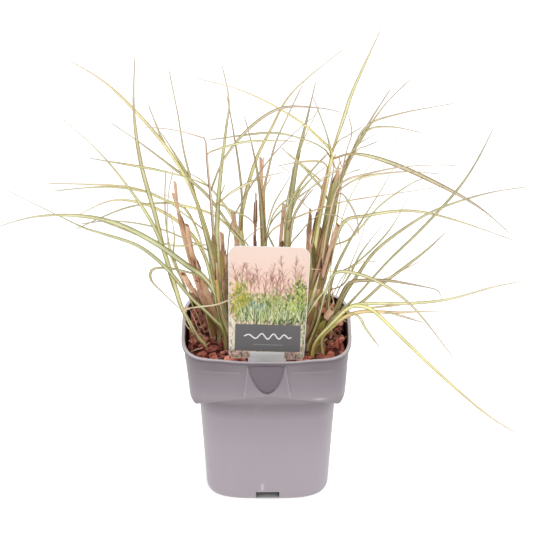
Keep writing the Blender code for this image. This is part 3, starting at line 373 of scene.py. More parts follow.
# %% Shoots in the middle
SHOOTS.update(shoot_table("""
mid_arching -14,60
  2.4 140 gold 255,290 245,255 241,225 245,199 256,161 271,130 294,91 351,43
  1.3 80 bronze 242,228 242,205 240.5,180 236,147 230,112 227,95
mid_left_sweep -16,42
  2.0 60 gold 252,290 247,258 236,236 222,221 203,211 172,203 127,187 41,183
  1.6 110 olive 249,262 240,236 228,223 204,192 172,167 139,142 107,120
mid_upright -4,48
  2.5 70 olive 264,285 264,246 261,203 256,165 249,133 243,112
  1.2 30 bronze 264,240 274,205 290,176 283,168 277,163
mid_back 6,66
  1.4 165 olive 268,290 266,245 264,196 268,172 275,145 282,128 304,82
mid_right_wide 16,50
  3.0 110 fresh 283,290 287,245 291,203 297,162 305,128 317,77
  1.3 70 olive 298,158 304,140 309,128 319,108
mid_right_back 26,62
  2.2 150 olive 285,290 288,235 296,195 311,172 331,151
  1.5 110 olive 291,215 298,195 305,186 314,176.5 327,166
mid_folded 0,30
  2.2 -60 blue 266,295 266,250 271,223 290,204 313,187 342,168
  1.4 -20 olive 266,245 272,218 284,202 297,198 310,210
mid_bowed 18,34
  2.0 -62 olive 284,295 289,250 299,234 316,217 334,215 348,224 357,238
  1.5 20 bronze 289,246 294,217 309,191 326,175
mid_straw 6,44
  1.9 -42 straw 266,290 264,252 271,232 287,222 313,211 339,203 366,198 447,186
mid_far_left -22,60
  2.3 178 blue 250,290 244,250 230,214 206,184 180,168
"""))
print("left and middle:", len(SHOOTS), "shoots")

# %% Shoots on the right
SHOOTS.update(shoot_table("""
right_culm 37,6
  2.0 60 yellow 306,320 313,262 318,228 323,202 327,182 330,165 332,152 324,143 296,119 243,91 186,76
  1.5 20 olive 331,158 324,149 305,140 269,133 208,140
  1.9 95 olive 332,154 344,118 354,89 382,27
  1.2 -15 bronze 332,158 326,132 312,95
  2.2 -60 bronze 332,160 356,154 394,164 442,186 480,208 513,236
right_purple 40,-10
  1.8 -40 bronze 316,315 323,260 331,215 341,184 372,173 404,167 442,165 468,167
  1.6 -85 bronze 337,194 358,179 390,173 416,172 440,174
  1.0 -75 purple 336,196 341.4,193.3 347.7,200.4 353.3,210 357.5,221 359,236
right_tan 46,14
  2.0 80 gold 318,315 323,265 331,225 345,168 360,142 384,106 415,75
  1.2 130 bronze 350,158 366,127 399,114 456,103
  1.5 20 olive 347,166 366,132 391,127 423,133
  1.2 160 bronze 341,180 364,132 391,88
right_purple_tip 34,22
  1.5 40 purple 305,315 315,265 325,225 340,180 347,150 352,132 347,110
  1.5 -20 bronze 344,166 356,146 377,133
  1.3 60 olive 330,205 323,190 312,177 303,167 288,154 282,147
right_thin 48,-16
  1.4 -110 fresh 326,315 332,260 343,217 354,190 373,163 409,131
right_steep 52,4
  1.9 -20 olive 328,315 330,290 337,267 354,234 380,192 401,155
  1.4 -50 fresh 335,273 358,262 389,231 411,192
  1.4 -30 olive 333,290 342,285.6 351,273 362,252 384,223
right_big 54,-10
  3.2 -70 pale 323,330 337,316 350,303 366,286 390,260 420,231 456,192 477,161 496,123
  2.3 46 olive 343,311 361,303 383,284 404,268 428,249 447,231
right_far 56,14
  2.4 60 pale 328,324 338,308 347,291 358,275 377,250 413,223 444,207 489,193 533,186
right_bowed 44,32
  2.0 100 olive 315,312 326,275 342,225 366,216 409,211 451,219 519,242
  1.3 160 fresh 335,245 352,237 380,206 409,185 424,178
right_hooked 44,-30
  1.8 -150 olive 318,322 326,292 336,273 358,274 384,285 415,309 456,361
right_broken 60,2
  2.2 -20 bronze 332,318 341,297 350,283 367,280.5 390,281 420,286 438,290.5 442,300
  1.2 20 bronze 372,281 387,279 401,271 421,261
right_level 57,-20
  2.5 -10 pale 320,336 332,323 344,311 355,305 373,303.4 408,303.4 448,299.4 494,287 528,280
  1.4 -70 bronze 352,306 366,308 390,306 409,304.5
right_short 56,-34
  2.1 -66 straw 323,337 336,324 348,315.5 364,311.6 380,312 399,312.7 423,311.6 448,311
  1.2 -85 withered 384,312 401,316 424,323
right_drooping 46,-40
  2.7 -120 yellow 317,341 331,325 345,311 354,306 366,307 374,311 384,320 409,344.5 441,375 485,413 \
      522,437
  1.8 -130 olive 347,310 359,317 366,329 380,348
right_stubby 38,-24
  3.2 -75 blue 303,328 307,313 312,299 320,272
  1.8 -115 fresh 305,320 315,303 324,292 333,285
"""))
print("in all:", len(SHOOTS), "shoots,", sum(len(leaves) for _, leaves in SHOOTS.values()), "leaves")

# %% [markdown]
# ## Old canes
# Last year's flowering canes were cut off a hand's breadth above the pot. They are thicker and
# stiffer than the leaves, so a foot, a half thickness, a depth and a few places do.

# %% Canes
CANES = table("""
-42,2 2.7 -18 217,318 204,285 193,256 187,225
-55,16 1.9 34 202,300 187,250 179,216 175,182
-52,28 1.8 60 206,300 193,262 182,223 173,193
-51,1 3.4 -30 208,320 196,297 183,274
-46,14 2.5 8 213,320 205,302 197,281
-36,38 2.6 50 226,310 224,270 222,233
-27,4 2.3 0 231,320 228,285 226,255
-24,32 2.7 40 243,310 239,262 233,211
14,18 2.2 24 279,310 280,255 284,204
-8,74 2.2 82 262,280 262,210 261,158
-12,24 1.0 20 256,310 255,250 256,193
30,16 2.9 26 306,314 311.5,268 316,246 320.5,227
36,-16 3.0 -40 309,320 318,291 325,268 331,248 338,225
50,-28 3.8 -44 317,333 324,321 332,309
29,6 2.4 34 303,318 310,262 316,228 321,203 325,185 328.5,169
38,14 2.4 24 310,318 319,262 326,228 331,203 335,184 338.5,170
31,-4 2.4 -8 305,322 314,284 321,262 325,243 328.5,226
22,36 1.7 38 302,300 307.5,250 310.5,209
""")
print("old canes:", len(CANES))

# %% [markdown]
# ## From drawn lines to lines in space
# A place on the sheet and a depth give one point in space, by the camera's own geometry. A strand
# is the smooth curve through its points, sampled evenly. The feet are then moved apart until no two
# stems share a place in the crown, and strands that would run through each other are pushed apart
# along the line of sight, where the eye doesn't see it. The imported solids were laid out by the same
# rules, so each fine blade lands in its own solid.

# %% Points on the sheet and smooth lines
POT_HEIGHT = 163.0
SOIL_TOP = 138.0
MULCH_TOP = 150.0
SOCKET_DEPTH = 10.0
SOCKET_FIT = 1.45
GAP = 0.4
STEM_FOOT = SOIL_TOP - SOCKET_DEPTH + GAP
COLLAR_HEIGHT = MULCH_TOP + 2.0
SHEATH_HALF = 2.1
TIP_HALF = 0.45
STRAND_SAMPLES = 56
CURVE_STEPS = 12
DEPTH_EASE = 1.4
SIGHT_LINE = Vector((0.0, math.cos(SIGHT_ANGLE), -math.sin(SIGHT_ANGLE)))


def sighted(place, depth):
    """The point at a given depth (+Y) that shows at a place on the sheet."""
    right = place[0] - SHEET_MIDDLE[0]
    up = SHEET_SIZE / 2 - place[1]
    sine, cosine = math.sin(SIGHT_ANGLE), math.cos(SIGHT_ANGLE)
    slope = up / SIGHT_DISTANCE
    rise = (up + depth * (slope * cosine - sine)) / (cosine + slope * sine)
    away = cosine * depth - sine * rise
    return Vector((right * (1.0 + away / SIGHT_DISTANCE), depth, AIM_HEIGHT + rise))


def curve_point(a, b, c, d, t):
    """A point of the Catmull-Rom curve between b and c."""
    straight = 2 * b + (c - a) * t
    bent = (2 * a - 5 * b + 4 * c - d) * t * t + (3 * b - a - 3 * c + d) * t ** 3
    return 0.5 * (straight + bent)


def smooth_line(points, count):
    """Evenly spaced samples of a smooth curve through the points."""
    fine = []
    padded = [points[0] * 2 - points[1]] + points + [points[-1] * 2 - points[-2]]
    for four in zip(padded, padded[1:], padded[2:], padded[3:]):
        fine += [curve_point(*four, k / CURVE_STEPS) for k in range(CURVE_STEPS)]
    fine.append(points[-1])
    lengths = [0.0]
    for a, b in zip(fine, fine[1:]):
        lengths.append(lengths[-1] + (b - a).length)
    samples = []
    at = 0
    for k in range(count):
        target = lengths[-1] * k / (count - 1)
        while at < len(fine) - 2 and lengths[at + 1] < target:
            at += 1
        span = lengths[at + 1] - lengths[at] or 1.0
        samples.append(fine[at].lerp(fine[at + 1], (target - lengths[at]) / span))
    return samples


def spread(places, start_depth, tip_depth):
    """Points of a strand, with its depth easing from the start's to the tip's."""
    travelled = [0.0]
    for (ax, ay), (bx, by) in zip(places, places[1:]):
        travelled.append(travelled[-1] + math.hypot(bx - ax, by - ay))
    shares = [(far / travelled[-1]) ** DEPTH_EASE for far in travelled]
    return [sighted(place, mix(start_depth, tip_depth, share)) for place, share in zip(places, shares)]


def rooted_points(foot, places, tip_depth):
    rooted = [Vector((*foot, height)) for height in (STEM_FOOT, SOIL_TOP + 2.0, COLLAR_HEIGHT)]
    return rooted + spread(places, foot[1], tip_depth)


# %% Strands
ROOTED_SAMPLES = 14.0
STEM_HELD = (4.0, 45.0)
FULL_WIDTH_AT = 0.35
BLADE_START = 0.68
TAPER_CURVE = 1.9
SHEATH_FADES = (0.12, 0.3)
CANE_TAPER = 0.12
CULM_ENDS = 0.06
CULMS = {  # shoots with a round jointed stem: its half thickness and where along it the stem ends
    "left_culm": (1.15, 0.72),
    "right_culm": (1.7, 0.55),
    "right_purple": (1.5, 0.52),
    "right_tan": (1.4, 0.5),
    "right_purple_tip": (1.3, 0.7),
}


class Strand:
    """A leaf or cane: its centre line, its half width, its finish and what it grows from."""

    def __init__(self, shoot, samples, half, finish="cane", stem=None, joint=0):
        self.shoot = shoot
        self.samples = samples
        self.half = half
        self.finish = finish
        self.stem = stem
        self.joint = joint
        self.offset = [0.0] * len(samples)

    def spacing(self):
        return (self.samples[-1] - self.samples[0]).length / len(self.samples)

    def hold(self, index):
        """How freely a sample may be pushed: not at all where it is rooted."""
        if self.stem:
            return ease(index / ROOTED_SAMPLES)
        return ease((self.samples[index].z - MULCH_TOP - STEM_HELD[0]) / STEM_HELD[1])

    def placed(self):
        lead = self.stem.offset[self.joint] if self.stem else 0.0
        count = len(self.samples)
        return [
            point + SIGHT_LINE * (self.offset[i] + lead * (1.0 - ease(i / (count - 1.0))))
            for i, point in enumerate(self.samples)
        ]


def nearest(samples, place):
    misses = [(seen - sighted(place, seen.y)).length for seen in samples[2:]]
    return 2 + misses.index(min(misses))


def width_at(strand, share, thinnest=TIP_HALF):
    """Half width along a strand: sheath, blade, then a long taper to the tip."""
    if strand.shoot.startswith("cane"):
        return strand.half * (1.0 - CANE_TAPER * share)
    blade = mix(BLADE_START, 1.0, ease(share / FULL_WIDTH_AT)) * strand.half
    beyond = max(0.0, share - FULL_WIDTH_AT) / (1.0 - FULL_WIDTH_AT)
    blade = max(blade * (1.0 - beyond ** TAPER_CURVE), thinnest)
    if strand.stem:
        return blade
    return max(blade, mix(SHEATH_HALF, 0.0, setting_in(share, SHEATH_FADES)), culm_half(strand, share))


def culm_half(strand, share):
    half, end = CULMS.get(strand.shoot, (0.0, 0.0))
    return mix(half, 0.0, setting_in(share, (end, CULM_ENDS)))


# %% Feet and crossings
FEET_SPACING = 0.6
STRAND_SPACING = 1.3
SETTLING_ROUNDS = 80
CLEARING_ROUNDS = 60
CLEARING_REACH = 24.0
CLEARING_SEARCH = 9.0
CANE_STIFFNESS = 0.35
CLEARED = 0.05


def settle_feet():
    """Feet moved apart until no two stems meet in the crown."""
    feet = {name: [Vector(foot), SHEATH_HALF] for name, (foot, _) in SHOOTS.items()}
    for i, (foot, half, *_) in enumerate(CANES):
        feet[f"cane_{i}"] = [Vector(foot), half]
    names = list(feet)
    for _ in range(SETTLING_ROUNDS):
        for i, a in enumerate(names):
            for b in names[i + 1:]:
                apart = feet[b][0] - feet[a][0]
                needed = SOCKET_FIT * (feet[a][1] + feet[b][1]) + 2 * GAP + FEET_SPACING
                short = needed - apart.length
                if short > 0.0:
                    push = apart.normalized() * short / 2
                    feet[a][0] -= push
                    feet[b][0] += push
    return {name: ((spot.x, spot.y), half) for name, (spot, half) in feet.items()}


def clear_crossings(strands):
    owners = [(s, i) for s, strand in enumerate(strands) for i in range(len(strand.samples))]
    for _ in range(CLEARING_ROUNDS):
        near = KDTree(len(owners))
        positions = [strand.placed() for strand in strands]
        for key, (s, i) in enumerate(owners):
            near.insert(positions[s][i], key)
        near.balance()
        pushes = [[0.0] * len(strand.samples) for strand in strands]
        worst = 0.0
        for s, i in owners:
            here = positions[s][i]
            mine = width_at(strands[s], i / (STRAND_SAMPLES - 1))
            for there, other, distance in near.find_range(here, CLEARING_SEARCH):
                t, j = owners[other]
                if t <= s or strands[t].shoot == strands[s].shoot:
                    continue
                theirs = width_at(strands[t], j / (STRAND_SAMPLES - 1))
                short = mine + theirs + STRAND_SPACING - distance
                if short <= 0.0:
                    continue
                worst = max(worst, short)
                if (here - there).dot(SIGHT_LINE) > 0.0:
                    pushes[s][i] = max(pushes[s][i], short)
                    pushes[t][j] = min(pushes[t][j], -short)
                else:
                    pushes[s][i] = min(pushes[s][i], -short)
                    pushes[t][j] = max(pushes[t][j], short)
        if worst < CLEARED:
            break
        for strand, push in zip(strands, pushes):
            apply_push(strand, push)


def apply_push(strand, push):
    """A push at one sample moves its neighbours too, so that the strand stays smooth."""
    reach = max(2, round(CLEARING_REACH / max(strand.spacing(), 0.5)))
    stiff = CANE_STIFFNESS if strand.shoot.startswith("cane") else 1.0
    count = len(push)
    moved = [0.0] * count
    for i, value in enumerate(push):
        if value == 0.0:
            continue
        for j in range(max(0, i - 2 * reach), min(count, i + 2 * reach + 1)):
            share = 0.5 * value * math.exp(-((j - i) / reach) ** 2)
            if abs(share) > abs(moved[j]):
                moved[j] = share
    for j in range(count):
        strand.offset[j] += moved[j] * strand.hold(j) * stiff


# %% Lay the clump out
def lay_out():
    feet = settle_feet()
    strands = []
    for name, (_, leaves) in SHOOTS.items():
        foot = feet[name][0]
        half, depth, finish, *places = leaves[0]
        line = smooth_line(rooted_points(foot, places, depth), STRAND_SAMPLES)
        stem = Strand(name, line, half, finish)
        strands.append(stem)
        for half, depth, finish, *places in leaves[1:]:
            joint = nearest(stem.samples, places[0])
            start = stem.samples[joint]
            points = [start] + spread(places, start.y, depth)[1:]
            strands.append(Strand(name, smooth_line(points, STRAND_SAMPLES), half, finish, stem, joint))
    for i, (_, half, depth, *places) in enumerate(CANES):
        points = rooted_points(feet[f"cane_{i}"][0], places, depth)
        strands.append(Strand(f"cane_{i}", smooth_line(points, STRAND_SAMPLES), half))
    clear_crossings(strands)
    return feet, strands


feet, strands = lay_out()
print("strands laid out:", len(strands))

# %% [markdown]
# ## Living leaf
# A miscanthus blade is a thin folded sheet: green, with dozens of fine veins running its whole
# length, a pale hard midrib in the fold and a thin pale margin. Each one ages from its tip down,
# from green through olive and bronze to a dry purplish grey. A colour ramp along the leaf gives
# that, and a noise stretched along the veins breaks it up. The surface is waxy, so it shines softly:
# typical leaf values are an IOR of 1.45 and a roughness near 0.5. Real veins stand 0.3 mm apart,
# too fine to show, so they are drawn about twice as coarse.

# %% Leaf finishes
LEAF_COLOURS = {  # from the foot to the tip of the leaf
    "fresh": ("#D9BC8E", "#BFC47C", "#BFC27E", "#C8BC84", "#CDB9B0"),
    "blue": ("#D2C096", "#ADBB80", "#A9B47E", "#B8B27C", "#C2B2AC"),
    "olive": ("#CDA878", "#B0AC62", "#B5AC68", "#BCA674", "#C2ABA6"),
    "gold": ("#D8BC80", "#C6C26C", "#D2C874", "#D2B87E", "#CFB4A8"),
    "yellow": ("#E6D47C", "#DEDA78", "#D8CE78", "#D3BC76", "#D0B2A6"),
    "bronze": ("#C49A70", "#B0A060", "#B09468", "#B48E7C", "#C0A6A8"),
    "straw": ("#DAB482", "#E0C472", "#E3BE7C", "#DCAF92", "#D8B8AC"),
    "pale": ("#DCC498", "#D2CE98", "#D2CC92", "#CCC09A", "#CBB7B4"),
    "purple": ("#BC967C", "#A0705E", "#986A5E", "#AA827A", "#C4A8B0"),
    "withered": ("#D2CC9E", "#BEB090", "#BCA294", "#B09690", "#BCA8A8"),
}
LEAF_STOPS = (0.0, 0.16, 0.45, 0.76, 1.0)
VEIN_SPACING = 0.6  # mm
LEAF_IOR = 1.45


def leaf_finish(name, colours):
    made, tree, shader = new_material(f"living_leaf_{name}")
    spot = add(tree, "UVMap", {"uv_map": "pattern"}).outputs["UV"]
    along = add(tree, "Attribute", {"attribute_name": "along"}).outputs["Fac"]
    tone = add(tree, "Attribute", {"attribute_name": "tone"}).outputs["Fac"]
    # The stretched noise wanders across the ramp, so that no two blades turn brown at one line.
    stretch = add(tree, "Mapping", {"Scale": (9.0, 0.55, 1.0)}, {"Vector": spot})
    streaks = add(tree, "TexNoise", {"Scale": 2.2, "Detail": 5.0, "Roughness": 0.65},
                  {"Vector": stretch})
    wander = add(tree, "MapRange", {"To Min": -0.07, "To Max": 0.07}, {"Value": streaks})
    place = add(tree, "Math", {"operation": "ADD"}, {0: along, 1: wander})
    ramp = add(tree, "ValToRGB", {"stops": list(zip(LEAF_STOPS, colours))}, {"Fac": place})
    # Long pale and dark streaks between the veins.
    shade = add(tree, "ValToRGB", {"stops": [(0.36, "#7C8A4C"), (0.54, "#FFFFFF"), (0.68, "#FFFFFF")]},
                {"Fac": streaks})
    streaked = add(tree, "Mix", {"data_type": "RGBA", "blend_type": "MULTIPLY", FACTOR: 0.5},
                   {FIRST: ramp, SECOND: shade})
    # The midrib in the fold is pale, and the thin rolled edges are darker and browner.
    split = add(tree, "SeparateXYZ", {}, {"Vector": spot})
    edge = add(tree, "Attribute", {"attribute_name": "edge"}).outputs["Fac"]
    edged = add(tree, "Mix", {"data_type": "RGBA", "blend_type": "MULTIPLY", SECOND: colour("#8E8650")},
                {FACTOR: edge, FIRST: streaked.outputs[MIXED]})
    rib = add(tree, "Attribute", {"attribute_name": "rib"}).outputs["Fac"]
    ribbed = add(tree, "Mix", {"data_type": "RGBA", SECOND: colour("#F8F5D2")},
                 {FACTOR: rib, FIRST: edged.outputs[MIXED]})
    bright = add(tree, "MapRange", {"To Min": 0.74, "To Max": 1.42}, {"Value": tone})
    # Every blade is darker in some places than in others along its length.
    lengthwise = add(tree, "Mapping", {"Scale": (0.0, 0.35, 1.0)}, {"Vector": spot})
    patches = add(tree, "TexNoise", {"Scale": 1.0, "Detail": 3.0}, {"Vector": lengthwise})
    uneven = add(tree, "MapRange", {"From Min": 0.3, "From Max": 0.7, "To Min": 0.86, "To Max": 1.13},
                 {"Value": patches})
    value = add(tree, "Math", {"operation": "MULTIPLY"}, {0: bright, 1: uneven})
    toned = add(tree, "HueSaturation", {"Saturation": 1.05}, {"Color": ribbed.outputs[MIXED],
                                                             "Value": value})
    rough = add(tree, "MapRange", {"To Min": 0.40, "To Max": 0.62}, {"Value": streaks})
    turns = add(tree, "Math", {"operation": "MULTIPLY", 1: math.tau * 10.0 / VEIN_SPACING}, {0: split})
    veins = add(tree, "Math", {"operation": "SINE"}, {0: turns})
    raised = add(tree, "Bump", {"Strength": 0.35, "Distance": 0.0001}, {"Height": veins})
    set_up(tree, shader, {"IOR": LEAF_IOR}, {"Base Color": toned, "Roughness": rough, "Normal": raised})
    return made


leaf_looks = {name: leaf_finish(name, colours) for name, colours in LEAF_COLOURS.items()}
print("leaf finishes:", ", ".join(leaf_looks))

# %% [markdown]
# ## A blade as a folded sheet
# Near the ground a shoot is a round stem of rolled leaf sheaths. Further up the first leaf opens
# into a blade with a shallow V section, its midrib standing out below, and the others peel off one
# by one. So one section shape serves them all: twelve points that run from an ellipse to a folded
# sheet as a share goes from 0 to 1. The blade's width swells over the first third and then thins
# to a hair. A slow roll along the leaf lets it catch the light unevenly, as limp leaves do.

# %% Sections of a leaf
SHEET_THICKNESS = 0.3
HAIR_TIP = 0.6
FOLD_RISE = 0.34  # height of a blade's edges over its midrib, as a share of its half width
RIB_PROUD = 0.35
SECTION_POINTS = 12
STATION = 5.0
FEWEST_STATIONS = 18
MOST_STATIONS = 96
STEM_FLATTENS = (0.1, 0.3)
FACE_BACK, FACE_FRONT, FACE_UP = 0.45, 0.55, 0.75
ROLL_MOST = 0.5
ROLL_TURNS = (2.5, 6.0)
BLADE_OPENS = 0.06  # the share of a side blade in which it opens flat
TIP_THINS = (0.95, 0.05)
SMOOTHING = 6


def facing(tangent, lean):
    """The way a blade's upper face looks: up, back over the clump and a little to the front."""
    wish = Vector((-FACE_BACK * lean.x, -FACE_BACK * lean.y - FACE_FRONT, FACE_UP))
    normal = wish - tangent * wish.dot(tangent)
    return normal.normalized()


def leaf_frames(points, roll):
    """Across and up directions at every station, turning slowly and without a flip."""
    lean = points[-1] - points[0]
    lean.z = 0.0
    lean.normalize()
    last = len(points) - 1
    tangents = [(points[min(k + 1, last)] - points[max(k - 1, 0)]).normalized() for k in range(last + 1)]
    across = []
    for tangent in tangents:
        side = tangent.cross(facing(tangent, lean)).normalized()
        if across and side.dot(across[-1]) < 0.0:
            side = -side
        across.append(side)
    for _ in range(SMOOTHING):
        padded = [across[0]] + across + [across[-1]]
        across = [(a + 2 * b + c).normalized() for a, b, c in zip(padded, padded[1:], padded[2:])]
    frames = []
    for k, (tangent, side) in enumerate(zip(tangents, across)):
        side = (side - tangent * side.dot(tangent)).normalized()
        up = side.cross(tangent).normalized()
        angle = roll(k / last)
        frames.append((side * math.cos(angle) + up * math.sin(angle),
                       up * math.cos(angle) - side * math.sin(angle), tangent))
    return frames


def leaf_section(point, side, up, half, thick, flat):
    """Twelve points around a leaf, from a round stem (flat 0) to a folded sheet (flat 1)."""
    ring = []
    for k in range(SECTION_POINTS):
        turn = math.tau * k / SECTION_POINTS
        across, rise = math.cos(turn), math.sin(turn)
        fold = FOLD_RISE * half * (abs(across) ** 1.4 - 0.4)
        rib = RIB_PROUD * min(1.0, half / 2.0) if k == 9 else 0.0
        sheet = fold + SHEET_THICKNESS / 2 * rise - rib
        ring.append(point + side * (across * half) + up * mix(thick * rise, sheet, flat))
    return ring


SECTION_ACROSS = [math.cos(math.tau * k / SECTION_POINTS) for k in range(SECTION_POINTS)] + [1.0]
EDGE_DARK = (1.0, 0.65)  # on the edge itself and one point in from it
RIB_PALE = (1.0, 0.4)
SLIMMER = {"right_drooping": 0.3, "right_level": 0.3, "right_big": 0.2}
SLIM_OTHERS = -0.04
print("section of", SECTION_POINTS, "points")


# %% Shoots
class Clump(Gatherer):
    """A gatherer for leaves: it also notes which points lie on a midrib or an edge."""

    def __init__(self):
        super().__init__()
        self.rib, self.edge = [], []

    def build(self, name, slot, *nodes, sharp=40.0):
        piece = super().build(name, slot, *nodes, sharp=sharp)
        for title, values in (("rib", self.rib), ("edge", self.edge)):
            values += [0.0] * (len(self.points) - len(values))
            piece.data.attributes.new(title, "FLOAT", "POINT").data.foreach_set("value", values)
        return piece

    def leaf(self, strand, draw):
        placed = strand.placed()
        length = sum((b - a).length for a, b in zip(placed, placed[1:]))
        count = max(FEWEST_STATIONS, min(MOST_STATIONS, round(length / STATION)))
        points = smooth_line(placed, count)
        phase, turns = draw.uniform(0.0, math.tau), draw.uniform(*ROLL_TURNS)
        most = draw.uniform(0.2, 1.0) * ROLL_MOST

        def roll(share):
            return most * ease(share / 0.3) * math.sin(phase + turns * share)

        rings, lengths, shares = [], [], []
        for k, (side, up, _) in enumerate(leaf_frames(points, roll)):
            share = k / (count - 1)
            half = width_at(strand, share, HAIR_TIP) * (1.0 - 0.75 * setting_in(share, TIP_THINS))
            if half > 2 * HAIR_TIP:
                half *= 1.0 - SLIMMER.get(strand.shoot, SLIM_OTHERS) * ease(share / 0.45)
            thick = SHEET_THICKNESS / 2
            flat = ease(share / BLADE_OPENS)
            if not strand.stem:
                flat = setting_in(share, STEM_FLATTENS)
                thick = mix(SHEATH_HALF, SHEET_THICKNESS, flat)
                culm = culm_half(strand, share)
                if culm > thick:
                    thick, flat = culm, min(flat, 1.0 - ease(culm / 0.8))
            elif k < 3:
                half = max(half, 1.0)
            rings.append(leaf_section(points[k], side, up, half, thick, flat))
            lengths.append(share * length)
            shares.append(share)
        around = [strand.half * value for value in SECTION_ACROSS]
        tone = draw.uniform(0.15, 0.85)
        self.tube(rings, around, lengths, leaf_looks[strand.finish], shares, tone)
        for share in shares:
            shown = ease(share / 0.2) * (1.0 - 0.5 * share)
            for k in range(SECTION_POINTS):
                from_rib = abs((k % 6) - 3)
                self.rib.append(shown * RIB_PALE[from_rib] if from_rib < 2 else 0.0)
                self.edge.append(shown * EDGE_DARK[3 - from_rib] if from_rib > 1 else 0.0)


def make_shoot(name, draw):
    clump = Clump()
    for strand in strands:
        if strand.shoot == name:
            clump.leaf(strand, draw)
    return clump.build(f"leaves_{name}", "grass_leaf", f"shoot_{name}", sharp=60.0)


for number, name in enumerate(SHOOTS):
    make_shoot(name, random.Random(100 + number))
print("shoots dressed:", len(SHOOTS))

# %% [markdown]
# ## Dry cane
# A cut cane is last year's stem: a straw-coloured tube about 5 mm thick, with fine lengthwise
# fibres, a swollen ring at each joint and the torn remains of its leaf sheaths. Weather has browned
# it in patches. The tube is lofted from round rings with shallow flutes, its cut end slants and is
# hollowed to the pith, and each sheath is an open sleeve with a ragged upper edge.

# %% Dry cane finish
def toned_by_piece(tree, shade, darkest, brightest):
    """Darkens or lightens a shade by the tone that each cane, sheath or chip carries."""
    tone = add(tree, "Attribute", {"attribute_name": "tone"}).outputs["Fac"]
    bright = add(tree, "MapRange", {"To Min": darkest, "To Max": brightest}, {"Value": tone})
    return add(tree, "HueSaturation", {}, {"Color": shade, "Value": bright})


def cane_finish():
    made, tree, shader = new_material("dry_cane_straw")
    spot = add(tree, "UVMap", {"uv_map": "pattern"}).outputs["UV"]
    # The pattern is in centimetres: this sets the fibres about 0.45 mm apart.
    stretch = add(tree, "Mapping", {"Scale": (14.0, 0.5, 1.0)}, {"Vector": spot})
    fibres = add(tree, "TexNoise", {"Scale": 1.6, "Detail": 6.0, "Roughness": 0.7}, {"Vector": stretch})
    straw = add(tree, "ValToRGB", {"stops": [(0.32, "#8E5E46"), (0.44, "#DBAC8C"), (0.58, "#F2D0B2"),
                                             (0.72, "#FCEBD6")]}, {"Fac": fibres})
    patches = add(tree, "TexNoise", {"Scale": 0.55, "Detail": 3.0}, {"Vector": spot})
    stained = add(tree, "ValToRGB", {"stops": [(0.55, "#FFFFFF"), (0.70, "#B08468")]},
                  {"Fac": patches})
    marked = add(tree, "Mix", {"data_type": "RGBA", "blend_type": "MULTIPLY", FACTOR: 0.7},
               {FIRST: straw, SECOND: stained})
    toned = toned_by_piece(tree, marked.outputs[MIXED], 0.72, 1.2)
    raised = add(tree, "Bump", {"Strength": 0.5, "Distance": 0.0002}, {"Height": fibres})
    set_up(tree, shader, {"Roughness": 0.68}, {"Base Color": toned, "Normal": raised})
    return made


def plain_finish(name, dark, light, roughness, size):
    """A dry, uneven surface between two colours, with its grain about this many mm across."""
    made, tree, shader = new_material(name)
    place = add(tree, "TexCoord").outputs["Object"]
    grain = add(tree, "TexNoise", {"Scale": 1000.0 / size, "Detail": 6.0, "Roughness": 0.7},
                {"Vector": place})
    ramp = add(tree, "ValToRGB", {"stops": [(0.35, dark), (0.65, light)]}, {"Fac": grain})
    toned = toned_by_piece(tree, ramp, 0.6, 1.3)
    raised = add(tree, "Bump", {"Strength": 0.6, "Distance": 0.0004}, {"Height": grain})
    set_up(tree, shader, {"Roughness": roughness}, {"Base Color": toned, "Normal": raised})
    return made


dry_cane = cane_finish()
cane_pith = plain_finish("cane_pith", "#8A5E42", "#D8B48C", 0.9, 1.5)
cane_rot = plain_finish("browned_sheath", "#6E4636", "#BC9070", 0.85, 2.5)
print("cane finishes:", dry_cane.name, cane_pith.name, cane_rot.name)

# %% Canes and their sheaths
CANE_SIDES = 16
CANE_STATIONS = 36
FLUTE = 0.05
JOINT_SWELL = 0.14
CUT_SLANT = 0.8
PITH_SHARE = 0.62
PITH_DEPTH = 2.2
SLEEVE_PLAY = 0.35
SLEEVE_THICK = 0.25
SLEEVE_SIDES = 15
SLEEVE_ARC = (3.4, 5.6)  # radians
SLEEVE_TEAR = 0.45
SLEEVE_FLARE = 0.9
JOINTS_AT = ((0.3, 0.45), (0.62, 0.8))
JOINT_LENGTH = 1.8
CANE_SLIM = 0.93


def cane_frames(points):
    last = len(points) - 1
    frames = []
    for k in range(last + 1):
        tangent = (points[min(k + 1, last)] - points[max(k - 1, 0)]).normalized()
        across = tangent.cross(Vector((0.0, 1.0, 0.0))).normalized()
        frames.append((across, across.cross(tangent), tangent))
    return frames


def round_ring(point, frame, radius, wobble=lambda turn: 1.0, slant=0.0, sides=CANE_SIDES):
    across, normal, tangent = frame
    ring = []
    for side in range(sides):
        turn = math.tau * side / sides
        outward = across * math.cos(turn) + normal * math.sin(turn)
        ring.append(point + outward * radius * wobble(turn) + tangent * slant * math.cos(turn))
    return ring


